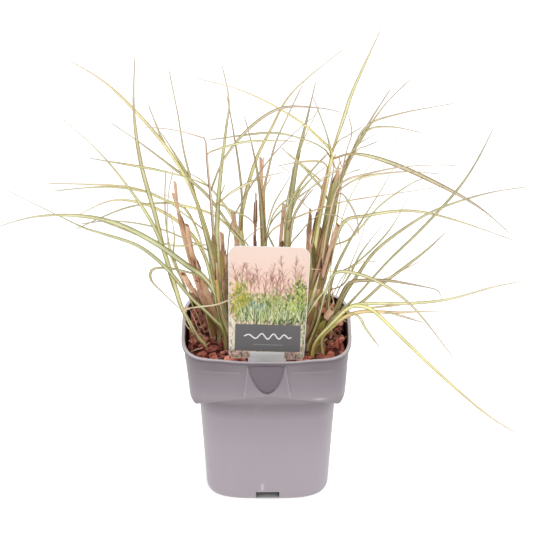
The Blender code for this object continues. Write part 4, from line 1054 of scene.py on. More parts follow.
def sleeve(part, points, frames, radii, first, last, draw, look, tone):
    """A torn sheath: a thin open sleeve around a cane with a ragged, flaring upper edge."""
    arc = draw.uniform(*SLEEVE_ARC)
    start = draw.uniform(0.0, math.tau)
    rags = [draw.uniform(0.0, 1.0) for _ in range(SLEEVE_SIDES)]
    outer, inner, lengths = [], [], []
    steps = max(4, last - first)
    for step in range(steps + 1):
        share = step / steps
        ring_out, ring_in = [], []
        for side, rag in enumerate(rags):
            reach = share * (1.0 - SLEEVE_TEAR * rag * share)
            at = first + (last - first) * reach
            low = min(int(at), len(points) - 2)
            middle = points[low].lerp(points[low + 1], at - low)
            across, normal, _ = frames[low]
            turn = start + arc * side / (SLEEVE_SIDES - 1)
            outward = across * math.cos(turn) + normal * math.sin(turn)
            lift = SLEEVE_PLAY + SLEEVE_FLARE * share ** 3 * (0.4 + rag)
            ring_out.append(middle + outward * (radii[low] + lift))
            ring_in.append(middle + outward * (radii[low] + lift - SLEEVE_THICK))
        outer.append(ring_out)
        inner.append(ring_in)
        lengths.append(share * (points[last] - points[first]).length + 0.001)
    rings = [out + back[::-1] for out, back in zip(outer, inner)]
    around = [arc * radii[first] * k / SLEEVE_SIDES for k in range(2 * SLEEVE_SIDES + 1)]
    part.tube(rings, around, lengths, look, [0.5 * step / steps for step in range(steps + 1)], tone)


def make_cane(index, draw):
    strand = next(s for s in strands if s.shoot == f"cane_{index}")
    points = smooth_line(strand.placed(), CANE_STATIONS)
    frames = cane_frames(points)
    last = CANE_STATIONS - 1
    length = sum((b - a).length for a, b in zip(points, points[1:]))
    phase = draw.uniform(0.0, math.tau)
    joints = [draw.uniform(*span) for span in JOINTS_AT]
    radii = []
    for k in range(CANE_STATIONS):
        share = k / last
        swell = sum(math.exp(-((share - joint) * length / JOINT_LENGTH) ** 2) for joint in joints)
        radii.append(width_at(strand, share) * (CANE_SLIM + JOINT_SWELL * swell))

    def wobble(turn):
        return 1.0 + FLUTE * math.sin(5.0 * turn + phase) + 0.5 * FLUTE * math.sin(2.0 * turn - phase)

    part = Gatherer()
    tone = draw.uniform(0.45, 0.85)
    rings, lengths = [], []
    for k in range(CANE_STATIONS):
        slant = CUT_SLANT * radii[k] if k == last else 0.0
        rings.append(round_ring(points[k], frames[k], radii[k], wobble, slant))
        lengths.append(length * k / last)
    around = [math.tau * strand.half * k / CANE_SIDES for k in range(CANE_SIDES + 1)]
    rows = part.tube(rings, around, lengths, dry_cane, tone=tone, capped=False)
    part.face(rows[0][::-1], dry_cane)
    # The cut end: a rim of wall and a sunken pith.
    slant = CUT_SLANT * radii[last]
    rim = round_ring(points[last], frames[last], radii[last] * PITH_SHARE, wobble, slant * PITH_SHARE)
    sunk = points[last] - frames[last][2] * PITH_DEPTH
    pit = round_ring(sunk, frames[last], radii[last] * PITH_SHARE * 0.8)
    inner = [[part.point(p, 1.0, tone) for p in ring] for ring in (rim, pit)]
    for low, high, look in ((rows[-1], inner[0], cane_pith), (inner[0], inner[1], cane_rot)):
        for i in range(CANE_SIDES):
            j = (i + 1) % CANE_SIDES
            part.face([low[i], low[j], high[j], high[i]], look, [(0.1 * i, 0.0)] * 4)
    part.face(inner[1], cane_rot)
    for _ in range(3 if strand.half > 2.4 else 2):
        first = draw.randint(4, 22)
        top = min(last - 1, first + draw.randint(6, 14))
        look = dry_cane if draw.random() < 0.75 else cane_rot
        sleeve(part, points, frames, radii, first, top, draw, look, draw.uniform(0.5, 1.0))
    return part.build(f"cane_{index + 1:02d}", "dry_cane", f"old_cane_{index + 1:02d}")


for index in range(len(CANES)):
    make_cane(index, random.Random(300 + index))
print("canes dressed:", len(CANES))

# %% [markdown]
# ## Injection-moulded polypropylene
# Nursery pots are moulded from grey polypropylene over a thin black inner layer that keeps light
# off the roots. Polypropylene straight from a fine-etched mould is satin: IOR 1.49, roughness 0.4
# to 0.5. Flow in the mould leaves faint upright streaks and handling leaves dull scuffs. Light and
# shade are painted into the grey as well: paler towards the foot, a painted shadow under the collar,
# a painted shade under the lip and in the tongue of the label pocket, and painted highlights on the
# lip's top edge, the tab's ridge and studs, the crease and the moulding mark.

# %% Pot finishes
# Painted light by height: the paler foot stands for floor light, 0.66 is a painted shadow under the
# collar, 0.982 to 0.990 a painted shade under the lip, and 0.998 to 1.0 a painted highlight on its top
# edge.
POT_GREYS_AND_PAINTED_LIGHT = [  # share of the pot's height, and the shade there
    (0.0, "#B0A7AE"), (0.35, "#A69DA4"), (0.56, "#9A9198"), (0.66, "#7C7379"), (0.69, "#8A8187"),
    (0.74, "#968D93"), (0.82, "#8B8289"), (0.93, "#83797F"), (0.968, "#7C7278"), (0.982, "#62585C"),
    (0.990, "#62585C"), (0.9955, "#8A8186"), (0.998, "#C4BCC2"), (1.0, "#CCC4CA"),
]
LIP_TOP = POT_HEIGHT + 1.2  # the rolled lip stands a little over the nominal height


def pot_finish():
    made, tree, shader = new_material("injection_moulded_polypropylene")
    place = add(tree, "TexCoord").outputs["Object"]
    hollow_shade = add(tree, "Attribute", {"attribute_name": "tone"}).outputs["Fac"]
    # Scales are per metre: streaks 11 mm wide and 140 mm long, scuffs 26 mm, etching 0.45 mm.
    flow = add(tree, "Mapping", {"Scale": (90.0, 90.0, 7.0)}, {"Vector": place})
    streaks = add(tree, "TexNoise", {"Scale": 1.0, "Detail": 4.0, "Roughness": 0.6}, {"Vector": flow})
    split = add(tree, "SeparateXYZ", {}, {"Vector": place})
    height = add(tree, "MapRange", {"From Max": LIP_TOP * MM}, {"Value": split.outputs[2]})
    # Grey by height, with painted light: paler towards the foot, as the floor would light it, a painted
    # shadow just under the collar, a collar darker than the body and darker towards its top, a painted
    # shade under the lip and a painted highlight along the lip's top edge.
    greys_and_painted_light = add(tree, "ValToRGB", {"stops": POT_GREYS_AND_PAINTED_LIGHT}, {"Fac": height})
    flowed = add(tree, "MapRange", {"To Min": 0.97, "To Max": 1.03}, {"Value": streaks})
    paler = add(tree, "HueSaturation", {}, {"Color": greys_and_painted_light, "Value": flowed})
    # Painted shade in the tongue-shaped hollow of the label pocket; the pot's underside gets half of it.
    hollow_shaded = add(tree, "Mix", {"data_type": "RGBA", SECOND: colour("#6C626B")},
                 {FACTOR: hollow_shade, FIRST: paler})
    # Painted highlights on the tab's ridge and studs, the crease and the moulding mark, and a scuff on
    # the collar that has gone pale with handling.
    worn_and_highlit = add(tree, "Attribute", {"attribute_name": "along"}).outputs["Fac"]
    marked = add(tree, "Mix", {"data_type": "RGBA", SECOND: colour("#D8D0D6")},
               {FACTOR: worn_and_highlit, FIRST: hollow_shaded.outputs[MIXED]})
    scuffs = add(tree, "TexNoise", {"Scale": 38.0, "Detail": 8.0, "Roughness": 0.75}, {"Vector": place})
    dust = add(tree, "MapRange", {"From Min": 0.6, "From Max": 0.8, "To Min": 0.0, "To Max": 0.22},
               {"Value": scuffs})
    dusty = add(tree, "Mix", {"data_type": "RGBA", SECOND: colour("#BDB4B4")},
                {FACTOR: dust, FIRST: marked.outputs[MIXED]})
    rough = add(tree, "MapRange", {"To Min": 0.36, "To Max": 0.56}, {"Value": scuffs})
    etch = add(tree, "TexNoise", {"Scale": 2200.0, "Detail": 2.0}, {"Vector": place})
    raised = add(tree, "Bump", {"Strength": 0.12, "Distance": 0.0001}, {"Height": etch})
    set_up(tree, shader, {"IOR": POLYPROPYLENE_IOR},
           {"Base Color": dusty.outputs[MIXED], "Roughness": rough, "Normal": raised})
    return made


def black_finish():
    made, tree, shader = new_material("black_inner_layer")
    place = add(tree, "TexCoord").outputs["Object"]
    marks = add(tree, "TexNoise", {"Scale": 60.0, "Detail": 8.0, "Roughness": 0.7}, {"Vector": place})
    tint = add(tree, "ValToRGB", {"stops": [(0.4, "#1C191B"), (0.6, "#2C282A"), (0.72, "#5A4C48")]},
               {"Fac": marks})
    rough = add(tree, "MapRange", {"To Min": 0.2, "To Max": 0.5}, {"Value": marks})
    set_up(tree, shader, {"IOR": POLYPROPYLENE_IOR}, {"Base Color": tint, "Roughness": rough})
    return made


grey_plastic = pot_finish()
black_plastic = black_finish()
print("pot finishes:", grey_plastic.name, black_plastic.name)

# %% [markdown]
# ## The pot's shape
# The pot is a thin shell. In plan it is a square with bowed sides and round corners, which a
# superellipse gives in one formula. Going up there is a foot rim, a tapered body, a step out to a
# collar whose lower edge arches over each side, and a rolled lip. The details of the front lie on
# the collar like a relief: a raised tab, a tongue-shaped hollow in it that takes a label, and a
# thin ridge. So the skin is a fine grid of points, and one function says how far each is proud.

# %% Plan and profile of the pot
RIM_HALF = 85.3
COLLAR_TOP_HALF = 83.0
COLLAR_FOOT_HALF = 78.0
BODY_TOP_HALF = 69.6
FOOT_HALF = 62.0
WALL = 1.6
LIP_DROP = 1.9
COLLAR_FOOT_CORNER = 111.2
COLLAR_FOOT_SIDE = 123.2
COLLAR_ARCH = COLLAR_FOOT_SIDE - COLLAR_FOOT_CORNER
STEP_TOP = COLLAR_FOOT_CORNER + 2.6
FLOOR_UNDER = 8.8
FLOOR_TOP = 10.8
FLOOR_CORNER = 6.0
FOOT_RIM = 3.0
RIM_SQUARENESS = 4.4
COLLAR_SQUARENESS = 8.0
BODY_SQUARENESS = 4.1
FOOT_SQUARENESS = 3.6
WARP = 0.8  # how far all but the rim has shrunk to one side
DENT = (3.2, 48.0, 17.0)  # depth, place to either side and half width of the front lip's dents
DENT_RISE = (146.0, 14.0)
WARP_RISE = (COLLAR_FOOT_SIDE, 36.0)
FRONT_SPAN = math.radians(26.0)
FRONT_STEP = math.radians(0.5)
SIDE_STEP = math.radians(2.0)


def plan_angles():
    """Angles around the pot, closer together across the middle of its front."""
    front = -math.pi / 2
    dense = round(2 * FRONT_SPAN / FRONT_STEP)
    coarse = round((math.tau - 2 * FRONT_SPAN) / SIDE_STEP)
    angles = [front - FRONT_SPAN + 2 * FRONT_SPAN * k / dense for k in range(dense)]
    start = front + FRONT_SPAN
    return angles + [start + (math.tau - 2 * FRONT_SPAN) * k / coarse for k in range(coarse)]


def plan_radius(half, squareness, angle):
    reach = abs(math.cos(angle)) ** squareness + abs(math.sin(angle)) ** squareness
    return half / reach ** (1.0 / squareness)


def corner_share(angle):
    """0 at the middle of a side, 1 at a corner, rising steadily and then fast."""
    near, far = sorted((abs(math.cos(angle)), abs(math.sin(angle))))
    return 0.78 * near / far + 0.22 * (near / far) ** 8


def squareness_at(half, height):
    """The body and the collar each have corners of their own, which change on the way up."""
    if half > BODY_TOP_HALF + 0.6 or height > STEP_TOP + 1.0:
        share = (height - COLLAR_FOOT_CORNER) / (POT_HEIGHT - COLLAR_FOOT_CORNER)
        return mix(COLLAR_SQUARENESS, RIM_SQUARENESS, share)
    return mix(FOOT_SQUARENESS, BODY_SQUARENESS, height / COLLAR_FOOT_CORNER)


def body_half(height):
    return mix(FOOT_HALF, BODY_TOP_HALF, height / COLLAR_FOOT_CORNER)


def collar_half(height):
    share = (height - COLLAR_FOOT_CORNER) / (POT_HEIGHT - COLLAR_FOOT_CORNER)
    return mix(COLLAR_FOOT_HALF, COLLAR_TOP_HALF, share)


def between(low, high, count):
    return [mix(low, high, k / count) for k in range(count)]


def rising(half_at, low, high, count, inset=0.0):
    """Level rings along a wall that has this half width at each height."""
    return [(half_at(z) - inset, z, 0) for z in between(low, high, count)]


# Rings as half width, height and kind: 0 is level, 1 follows the arch, and 2 runs between the
# arch and the lip, its height being a share of the way.
lip = LIP_TOP - LIP_DROP
OUTSIDE = [
    (FOOT_HALF - 0.9, 0.0, 0), (FOOT_HALF - 0.35, 0.25, 0), (body_half(1.0), 1.0, 0),
    *rising(body_half, 2.0, 26.0, 24),
    *rising(body_half, 26.0, COLLAR_FOOT_CORNER - 1.0, 14),
    (BODY_TOP_HALF, COLLAR_FOOT_CORNER - 0.6, 1), (BODY_TOP_HALF + 0.5, COLLAR_FOOT_CORNER, 1),
    (COLLAR_FOOT_HALF - 1.0, COLLAR_FOOT_CORNER, 1),
    (COLLAR_FOOT_HALF - 0.3, COLLAR_FOOT_CORNER + 0.25, 1),
    (COLLAR_FOOT_HALF, COLLAR_FOOT_CORNER + 0.9, 1),
    *[(None, share, 2) for share in between(0.0, 1.0, 58)[1:]],
    (collar_half(lip), lip - 0.9, 0), (collar_half(lip) + 0.5, lip - 0.5, 0),
    (RIM_HALF - 0.7, lip - 0.2, 0), (RIM_HALF - 0.2, lip + 0.1, 0), (RIM_HALF, lip + 0.6, 0),
    (RIM_HALF, LIP_TOP - 0.8, 0), (RIM_HALF - 0.3, LIP_TOP - 0.25, 0), (RIM_HALF - 0.8, LIP_TOP, 0),
]
inner_half = collar_half(POT_HEIGHT) - WALL
slope_top = FLOOR_TOP + FLOOR_CORNER
INSIDE = [
    (inner_half + 1.2, LIP_TOP, 0), (inner_half + 0.4, LIP_TOP - 0.5, 0),
    (collar_half(POT_HEIGHT - 2.0) - WALL, POT_HEIGHT - 2.0, 0),
    *rising(collar_half, POT_HEIGHT - 4.0, STEP_TOP + COLLAR_ARCH + 4.0, 12, WALL),
    (collar_half(STEP_TOP) - WALL, STEP_TOP, 1), (BODY_TOP_HALF - WALL, STEP_TOP - 0.6, 1),
    *rising(body_half, COLLAR_FOOT_CORNER - 4.0, slope_top, 8, WALL),
    (body_half(slope_top) - WALL, slope_top, 0),
    (body_half(FLOOR_TOP) - WALL - 4.0, FLOOR_TOP, 0),
]
print("pot profile:", len(OUTSIDE), "rings outside,", len(INSIDE), "inside")

# %% Relief on the collar
TAB_TOP = 159.4
TAB_FOOT = 121.0
TAB_TOP_HALF = 19.4
TAB_FOOT_HALF = 24.4
TAB_PROUD = 1.3
TONGUE_TOP = 158.9
TONGUE_FOOT = 127.0
TONGUE_HALF = 18.2
TONGUE_NOSE = 1.4
TONGUE_DEPTH = 0.3
EDGE = 0.9
CREASE_HEIGHT = 151.3
CREASE_PROUD = 0.45
CREASE_HALF = 0.8
RIDGE_HALF = 0.8
STUD = (22.6, 127.2, 1.1)  # half distance apart, height and size of the tab's two studs
MOULD_MARK = (-5.0, 9.0, 18.0)  # its place, foot and top on the body's front
RIDGE_PROUD, STUD_PROUD, MARK_PROUD = 0.35, 0.4, 0.35
SCUFF = (52.0, 120.5, 5.0, 1.1)  # middle, height, half length and half height


def tongue_half(height):
    drop = min(max((TONGUE_TOP - height) / (TONGUE_TOP - TONGUE_FOOT), 0.0), 1.0)
    return TONGUE_HALF * math.sqrt(max(0.0, 1.0 - drop ** (2.0 / TONGUE_NOSE)))


def relief(x, height):
    """How far the front stands proud at a place, how much painted shade the hollow gets, and how much
    painted highlight the ridge and studs get.
    """
    half = mix(TAB_FOOT_HALF, TAB_TOP_HALF, (height - TAB_FOOT) / (TAB_TOP - TAB_FOOT))
    tab = ease((half - abs(x)) / EDGE) * ease((TAB_TOP - height) / EDGE)
    tab *= ease((height - TAB_FOOT) / EDGE)
    ridge = math.exp(-((half - EDGE - abs(x)) / RIDGE_HALF) ** 2) * tab
    tongue = 0.0
    if TONGUE_FOOT < height < TONGUE_TOP:
        tongue = ease((tongue_half(height) - abs(x)) / EDGE) * ease((TONGUE_TOP - height) / EDGE)
    stud = math.exp(-(((abs(x) - STUD[0]) / STUD[2]) ** 2 + ((height - STUD[1]) / STUD[2]) ** 2))
    proud = tab * TAB_PROUD + RIDGE_PROUD * ridge + STUD_PROUD * stud
    proud -= tongue * (TAB_PROUD + TONGUE_DEPTH)
    # The ridge and the studs get a painted highlight.
    return proud, tongue, max(0.24 * ridge, 0.35 * stud) * (1.0 - tongue)


def pot_ring(half, height, arched, angles):
    """One ring of the skin: its places, the painted shade of the label hollow, and how pale it is from
    wear and painted highlights.
    """
    ring, hollow_shade, worn_and_highlit = [], [], []
    for angle in angles:
        rise = COLLAR_ARCH * (1.0 - corner_share(angle)) if arched else 0.0
        if arched == 2:
            foot = COLLAR_FOOT_CORNER + 0.9 + COLLAR_ARCH * (1.0 - corner_share(angle))
            at = mix(foot, lip - 1.0, height)
            plain = at - rise * (1.0 - height)
            radius = plan_radius(collar_half(plain), squareness_at(COLLAR_FOOT_HALF, plain), angle)
            crease = math.exp(-((at - CREASE_HEIGHT) / CREASE_HALF) ** 2)
            crease *= ease((0.8 - corner_share(angle)) / 0.1)
        else:
            at = height + rise
            radius = plan_radius(half, squareness_at(half, height), angle)
            crease = 0.0
        x, y = radius * math.cos(angle), radius * math.sin(angle)
        proud, recess, pale = 0.0, 0.0, 0.0
        if arched == 2:
            if y < 0.0 and abs(x) < TAB_FOOT_HALF + 2.0:
                proud, recess, pale = relief(x, at)
                y -= proud
            if proud == 0.0 and recess == 0.0:
                x += math.cos(angle) * crease * CREASE_PROUD
                y += math.sin(angle) * crease * CREASE_PROUD
                # A painted highlight along the crease.
                pale = 0.12 * crease
                if y < 0.0:
                    away = ((x - SCUFF[0]) / SCUFF[2]) ** 2 + ((at - SCUFF[1]) / SCUFF[3]) ** 2
                    pale = max(pale, 0.6 * math.exp(-away))
        elif y < 0.0 and MOULD_MARK[1] < at < MOULD_MARK[2]:
            # A painted highlight on the moulding mark.
            pale = math.exp(-((x - MOULD_MARK[0]) / 1.2) ** 2)
            y -= MARK_PROUD * pale
        x += WARP * (1.0 - setting_in(at, WARP_RISE))
        if y < 0.0:
            beside = ((abs(x) - DENT[1]) / DENT[2]) ** 2
            y += DENT[0] * math.exp(-beside) * setting_in(at, DENT_RISE)
        ring.append(Vector((x, y, at)))
        hollow_shade.append(recess)
        worn_and_highlit.append(0.8 * pale if arched != 2 else pale)
    return ring, hollow_shade, worn_and_highlit


# %% Mould the pot
FOOT_NOTCH_HALF = 11.8
FOOT_NOTCH_SHIFT = 1.1
FOOT_NOTCH_HEIGHT = 7.5
DRAIN_HOLES = 8
DRAIN_CIRCLE = 40.0
DRAIN_RADIUS = 5.0
FOOT_CUT = (58.0, 70.0)  # how far from the pot's axis a cutting box reaches
NOTCH_CUT = (-90.0, -76.0)
NOTCH_SPAN = (14.4, 17.8)
NOTCH_HEIGHTS = (156.9, 158.9)


def cutting_tools():
    """One mesh of everything that is cut out of the pot: drain holes, foot notches, tab notches."""
    bm = bmesh.new()
    for i in range(DRAIN_HOLES):
        angle = math.tau * (i + 0.5) / DRAIN_HOLES
        spot = (DRAIN_CIRCLE * math.cos(angle), DRAIN_CIRCLE * math.sin(angle), FLOOR_TOP)
        bmesh.ops.create_cone(bm, cap_ends=True, segments=28, radius1=DRAIN_RADIUS,
                              radius2=DRAIN_RADIUS, depth=8.0, matrix=Matrix.Translation(spot))
    near, far = NOTCH_SPAN
    low, high = NOTCH_HEIGHTS
    front, back = NOTCH_CUT
    boxes = [((-far, front, low), (-near, back, high)), ((near, front, low), (far, back, high))]
    for side in range(4):
        reach = FOOT_CUT if side % 2 == 0 else (-FOOT_CUT[1], -FOOT_CUT[0])
        low = [reach[0], -FOOT_NOTCH_HALF, -2.0]
        high = [reach[1], FOOT_NOTCH_HALF, FOOT_NOTCH_HEIGHT]
        if side >= 2:
            low[0], low[1], high[0], high[1] = low[1], low[0], high[1], high[0]
            low[0] += FOOT_NOTCH_SHIFT
            high[0] += FOOT_NOTCH_SHIFT
        boxes.append((low, high))
    for low, high in boxes:
        for vert in bmesh.ops.create_cube(bm, size=1.0)["verts"]:
            vert.co = [mix(a, b, c + 0.5) for a, b, c in zip(low, high, vert.co)]
    bmesh.ops.scale(bm, vec=(MM, MM, MM), verts=bm.verts)
    mesh = bpy.data.meshes.new("pot_cuts")
    bm.to_mesh(mesh)
    bm.free()
    return in_scene("pot_cuts", mesh)


def cut(piece, tool):
    """Takes the tool's shape out of the piece, keeps the result and throws the tool away."""
    modifier = piece.modifiers.new("cuts", "BOOLEAN")
    modifier.operation = "DIFFERENCE"
    modifier.solver = "EXACT"
    modifier.object = tool
    evaluated = piece.evaluated_get(bpy.context.evaluated_depsgraph_get())
    done = bpy.data.meshes.new_from_object(evaluated)
    piece.modifiers.remove(modifier)
    piece.data = done
    bpy.data.objects.remove(tool, do_unlink=True)


def make_pot():
    angles = plan_angles()
    profile = OUTSIDE + INSIDE
    skin = Gatherer()
    rows = []
    for half, height, arched in profile:
        ring, hollow_shade, worn_and_highlit = pot_ring(half, height, arched, angles)
        # A point's along carries wear and painted highlights, and its tone the painted shade of the
        # label hollow.
        rows.append([skin.point(*values) for values in zip(ring, worn_and_highlit, hollow_shade)])
    under = []
    for half, height in ((FOOT_HALF - FOOT_RIM - 0.4, FLOOR_UNDER), (FOOT_HALF - FOOT_RIM, 0.0)):
        ring = pot_ring(half, height, 0, angles)[0]
        # These points keep the default tone of 0.5, so the underside gets half the painted shade of the
        # label hollow.
        under.append([skin.point(p) for p in ring])
    rows = under + rows
    count = len(angles)
    first_inner = len(under) + len(OUTSIDE) + 1
    for k in range(len(rows) - 1):
        look = black_plastic if k >= first_inner else grey_plastic
        for i in range(count):
            j = (i + 1) % count
            skin.face([rows[k][i], rows[k][j], rows[k + 1][j], rows[k + 1][i]], look)
    skin.face(rows[-1], black_plastic)
    skin.face(rows[0][::-1], grey_plastic)
    pot = skin.build("moulded_pot", "pot_plastic", "pot", sharp=50.0)
    cut(pot, cutting_tools())
    return pot


pot = make_pot()
print("pot:", len(pot.data.polygons), "faces")

# %% [markdown]
# ## Root ball and bark mulch
# The root ball is damp peat, dark brown with pale fibres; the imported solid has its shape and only
# needs a finish. On it lies pine bark, graded to 8 to 20 mm: flat, angular red-brown flakes with a
# rough cork side. Each chip is the convex hull of a few points in a thin slab, roughened a little,
# so no two are alike. First a ring of them is laid along the wall, then the rest are scattered over
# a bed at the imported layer's height, kept off stems and label and turned mostly flat.

# %% Soil and bark finishes
def soil_finish():
    made, tree, shader = new_material("damp_peat")
    place = add(tree, "TexCoord").outputs["Object"]
    crumbs = add(tree, "TexVoronoi", {"Scale": 420.0}, {"Vector": place})
    grain = add(tree, "TexNoise", {"Scale": 900.0, "Detail": 8.0, "Roughness": 0.8}, {"Vector": place})
    peat = add(tree, "ValToRGB", {"stops": [(0.3, "#1B120D"), (0.55, "#33221A"), (0.8, "#5A4334")]},
               {"Fac": grain})
    raised = add(tree, "Bump", {"Strength": 0.9, "Distance": 0.002}, {"Height": crumbs})
    set_up(tree, shader, {"Roughness": 0.95}, {"Base Color": peat, "Normal": raised})
    return made


def bark_finish(name, dark, middle, light):
    made, tree, shader = new_material(name)
    spot = add(tree, "UVMap", {"uv_map": "pattern"}).outputs["UV"]
    place = add(tree, "TexCoord").outputs["Object"]
    # Cork grows in layers, here about 0.8 mm apart, and breaks with a grain as fine.
    stretch = add(tree, "Mapping", {"Scale": (9.0, 2.2, 1.0)}, {"Vector": spot})
    layers = add(tree, "TexNoise", {"Scale": 1.4, "Detail": 7.0, "Roughness": 0.75}, {"Vector": stretch})
    cork = add(tree, "ValToRGB", {"stops": [(0.30, dark), (0.5, middle), (0.72, light)]},
               {"Fac": layers})
    toned = toned_by_piece(tree, cork, 0.35, 1.35)
    grain = add(tree, "TexNoise", {"Scale": 1300.0, "Detail": 6.0, "Roughness": 0.8}, {"Vector": place})
    raised = add(tree, "Bump", {"Strength": 0.8, "Distance": 0.0006}, {"Height": grain})
    set_up(tree, shader, {"Roughness": 0.8}, {"Base Color": toned, "Normal": raised})
    return made


frame["nodes"]["soil"].data.materials.clear()
frame["nodes"]["soil"].data.materials.append(soil_finish())
bark_looks = [
    bark_finish("pine_bark_cork", "#6E2E28", "#BC6454", "#E6A490"),
    bark_finish("pine_bark_dark", "#401C18", "#80443A", "#B6766A"),
    bark_finish("pine_bark_fresh_face", "#A25846", "#D88E78", "#F4C8B4"),
]
print("soil and bark finishes:", len(bark_looks) + 1)

# %% Bark chips
BED_HEIGHT = 149.0
BED_DROP = 2.0
BANK = 11.0
BANK_BACK = (0.1, 0.7)
BANK_LEFT = (0.35, 0.5)
BANK_TO_FRONT = (-0.35, 0.6)
BANK_LEFT_SHARE = 0.75
BANK_RIGHT_LOSS = 0.45
BANK_RISE = (0.72, 0.26)
CHIP_COUNT = 640
WALL_CHIPS = 190
WALL_CHIP_LENGTHS = (7.0, 13.0)
WALL_CHIP_WIDTHS = (4.0, 6.5)
CHIP_LENGTHS = (7.0, 19.0)
CHIP_WIDTHS = (4.0, 9.0)
CHIP_THICKS = (1.6, 3.6)
CHIP_CORNERS = 6
CHIP_ROUGH = ((0.45, 0.8), (1.3, 0.35))  # how fine and how strong each layer of its roughness is
CHIP_CEILING = 157.8
WATERING = (-70.0, -44.0, -66.0, -34.0)  # left bare for the can: a lower heap
WATERING_CEILING = 153.4
BED_GRID = 4.0
BED_LUMP = (1.6, 0.12)  # height, and how many to the millimetre
STEM_CLEARANCE = 2.6
LABEL_FOOT = Vector((0.0, -69.5, 161.0))
LABEL_LEAN = math.radians(9.0)
LABEL_TURN = math.radians(-1.6)
STAKE_HALF = 18.8


def plan_share(x, y, half):
    """How far out a place lies: 1 on the square plan of this half width."""
    return (abs(x) ** RIM_SQUARENESS + abs(y) ** RIM_SQUARENESS) ** (1.0 / RIM_SQUARENESS) / half


def bank_height(x, y):
    """The heap against the wall: highest at the back, lower round to the left, none elsewhere."""
    reach = math.hypot(x, y) + 0.001
    back, left = y / reach, -x / reach
    behind = setting_in(back, BANK_BACK) * (1.0 - BANK_RIGHT_LOSS * ease(-left))
    beside = setting_in(left, BANK_LEFT) * setting_in(back, BANK_TO_FRONT) * BANK_LEFT_SHARE
    return BANK * max(behind, beside) * setting_in(plan_share(x, y, collar_half(MULCH_TOP)), BANK_RISE)


def watering_share(x, y):
    """1 in the low corner that water is poured into, 0 a little way outside it."""
    left, right, front, back = WATERING
    outside = max(left - x, x - right, front - y, y - back)
    return 1.0 - ease(outside / 8.0)


def bed_height(x, y):
    waves = math.sin(x * 0.21 + 1.3) * math.cos(y * 0.17 - 0.4) + 0.6 * math.sin(x * 0.09 - y * 0.13)
    return BED_HEIGHT - 4.0 * watering_share(x, y) + 0.9 * waves + bank_height(x, y)


def chip_shape(length, width, thick, draw):
    """One flake in its own frame: corners, and faces as lists of corners."""
    bm = bmesh.new()
    for layer in (-0.5, 0.5):
        for k in range(CHIP_CORNERS):
            turn = math.tau * (k + draw.uniform(-0.35, 0.35)) / CHIP_CORNERS
            reach = draw.uniform(0.7, 1.0)
            bm.verts.new((
                0.5 * length * reach * math.cos(turn),
                0.5 * width * reach * math.sin(turn),
                thick * (layer * draw.uniform(0.5, 1.0)),
            ))
    hull = bmesh.ops.convex_hull(bm, input=bm.verts)
    bmesh.ops.delete(bm, geom=[v for v in hull["geom_interior"] if isinstance(v, bmesh.types.BMVert)])
    bmesh.ops.subdivide_edges(bm, edges=bm.edges[:], cuts=1, use_grid_fill=True)
    bmesh.ops.triangulate(bm, faces=bm.faces[:])
    seed = Vector((draw.uniform(0, 90), draw.uniform(0, 90), draw.uniform(0, 90)))
    bend = draw.uniform(-0.16, 0.16)
    for vert in bm.verts:
        rough = sum(noise.noise(vert.co * fine + seed) * strong for fine, strong in CHIP_ROUGH)
        vert.co += vert.co.normalized() * rough * 0.9
        vert.co.z += bend * (vert.co.x ** 2) / length
    bm.verts.index_update()
    corners = [vert.co.copy() for vert in bm.verts]
    faces = [[vert.index for vert in face.verts] for face in bm.faces]
    bm.free()
    return corners, faces


def chip_tip(draw):
    """Mostly flat, now and then tipped up against a neighbour."""
    tip = draw.gauss(0.0, 0.32) if draw.random() < 0.8 else draw.gauss(0.0, 0.8)
    return Matrix.Rotation(tip, 3, "X") @ Matrix.Rotation(draw.gauss(0.0, 0.25), 3, "Y")


def chip_turn(draw):
    return Matrix.Rotation(draw.uniform(0.0, math.tau), 3, "Z") @ chip_tip(draw)


def near_label(x, y, clear):
    back = LABEL_FOOT.y + (MULCH_TOP - LABEL_FOOT.z) * math.tan(LABEL_LEAN)
    return abs(x) < STAKE_HALF + clear and back - clear - 1.0 < y < back + clear + 1.5


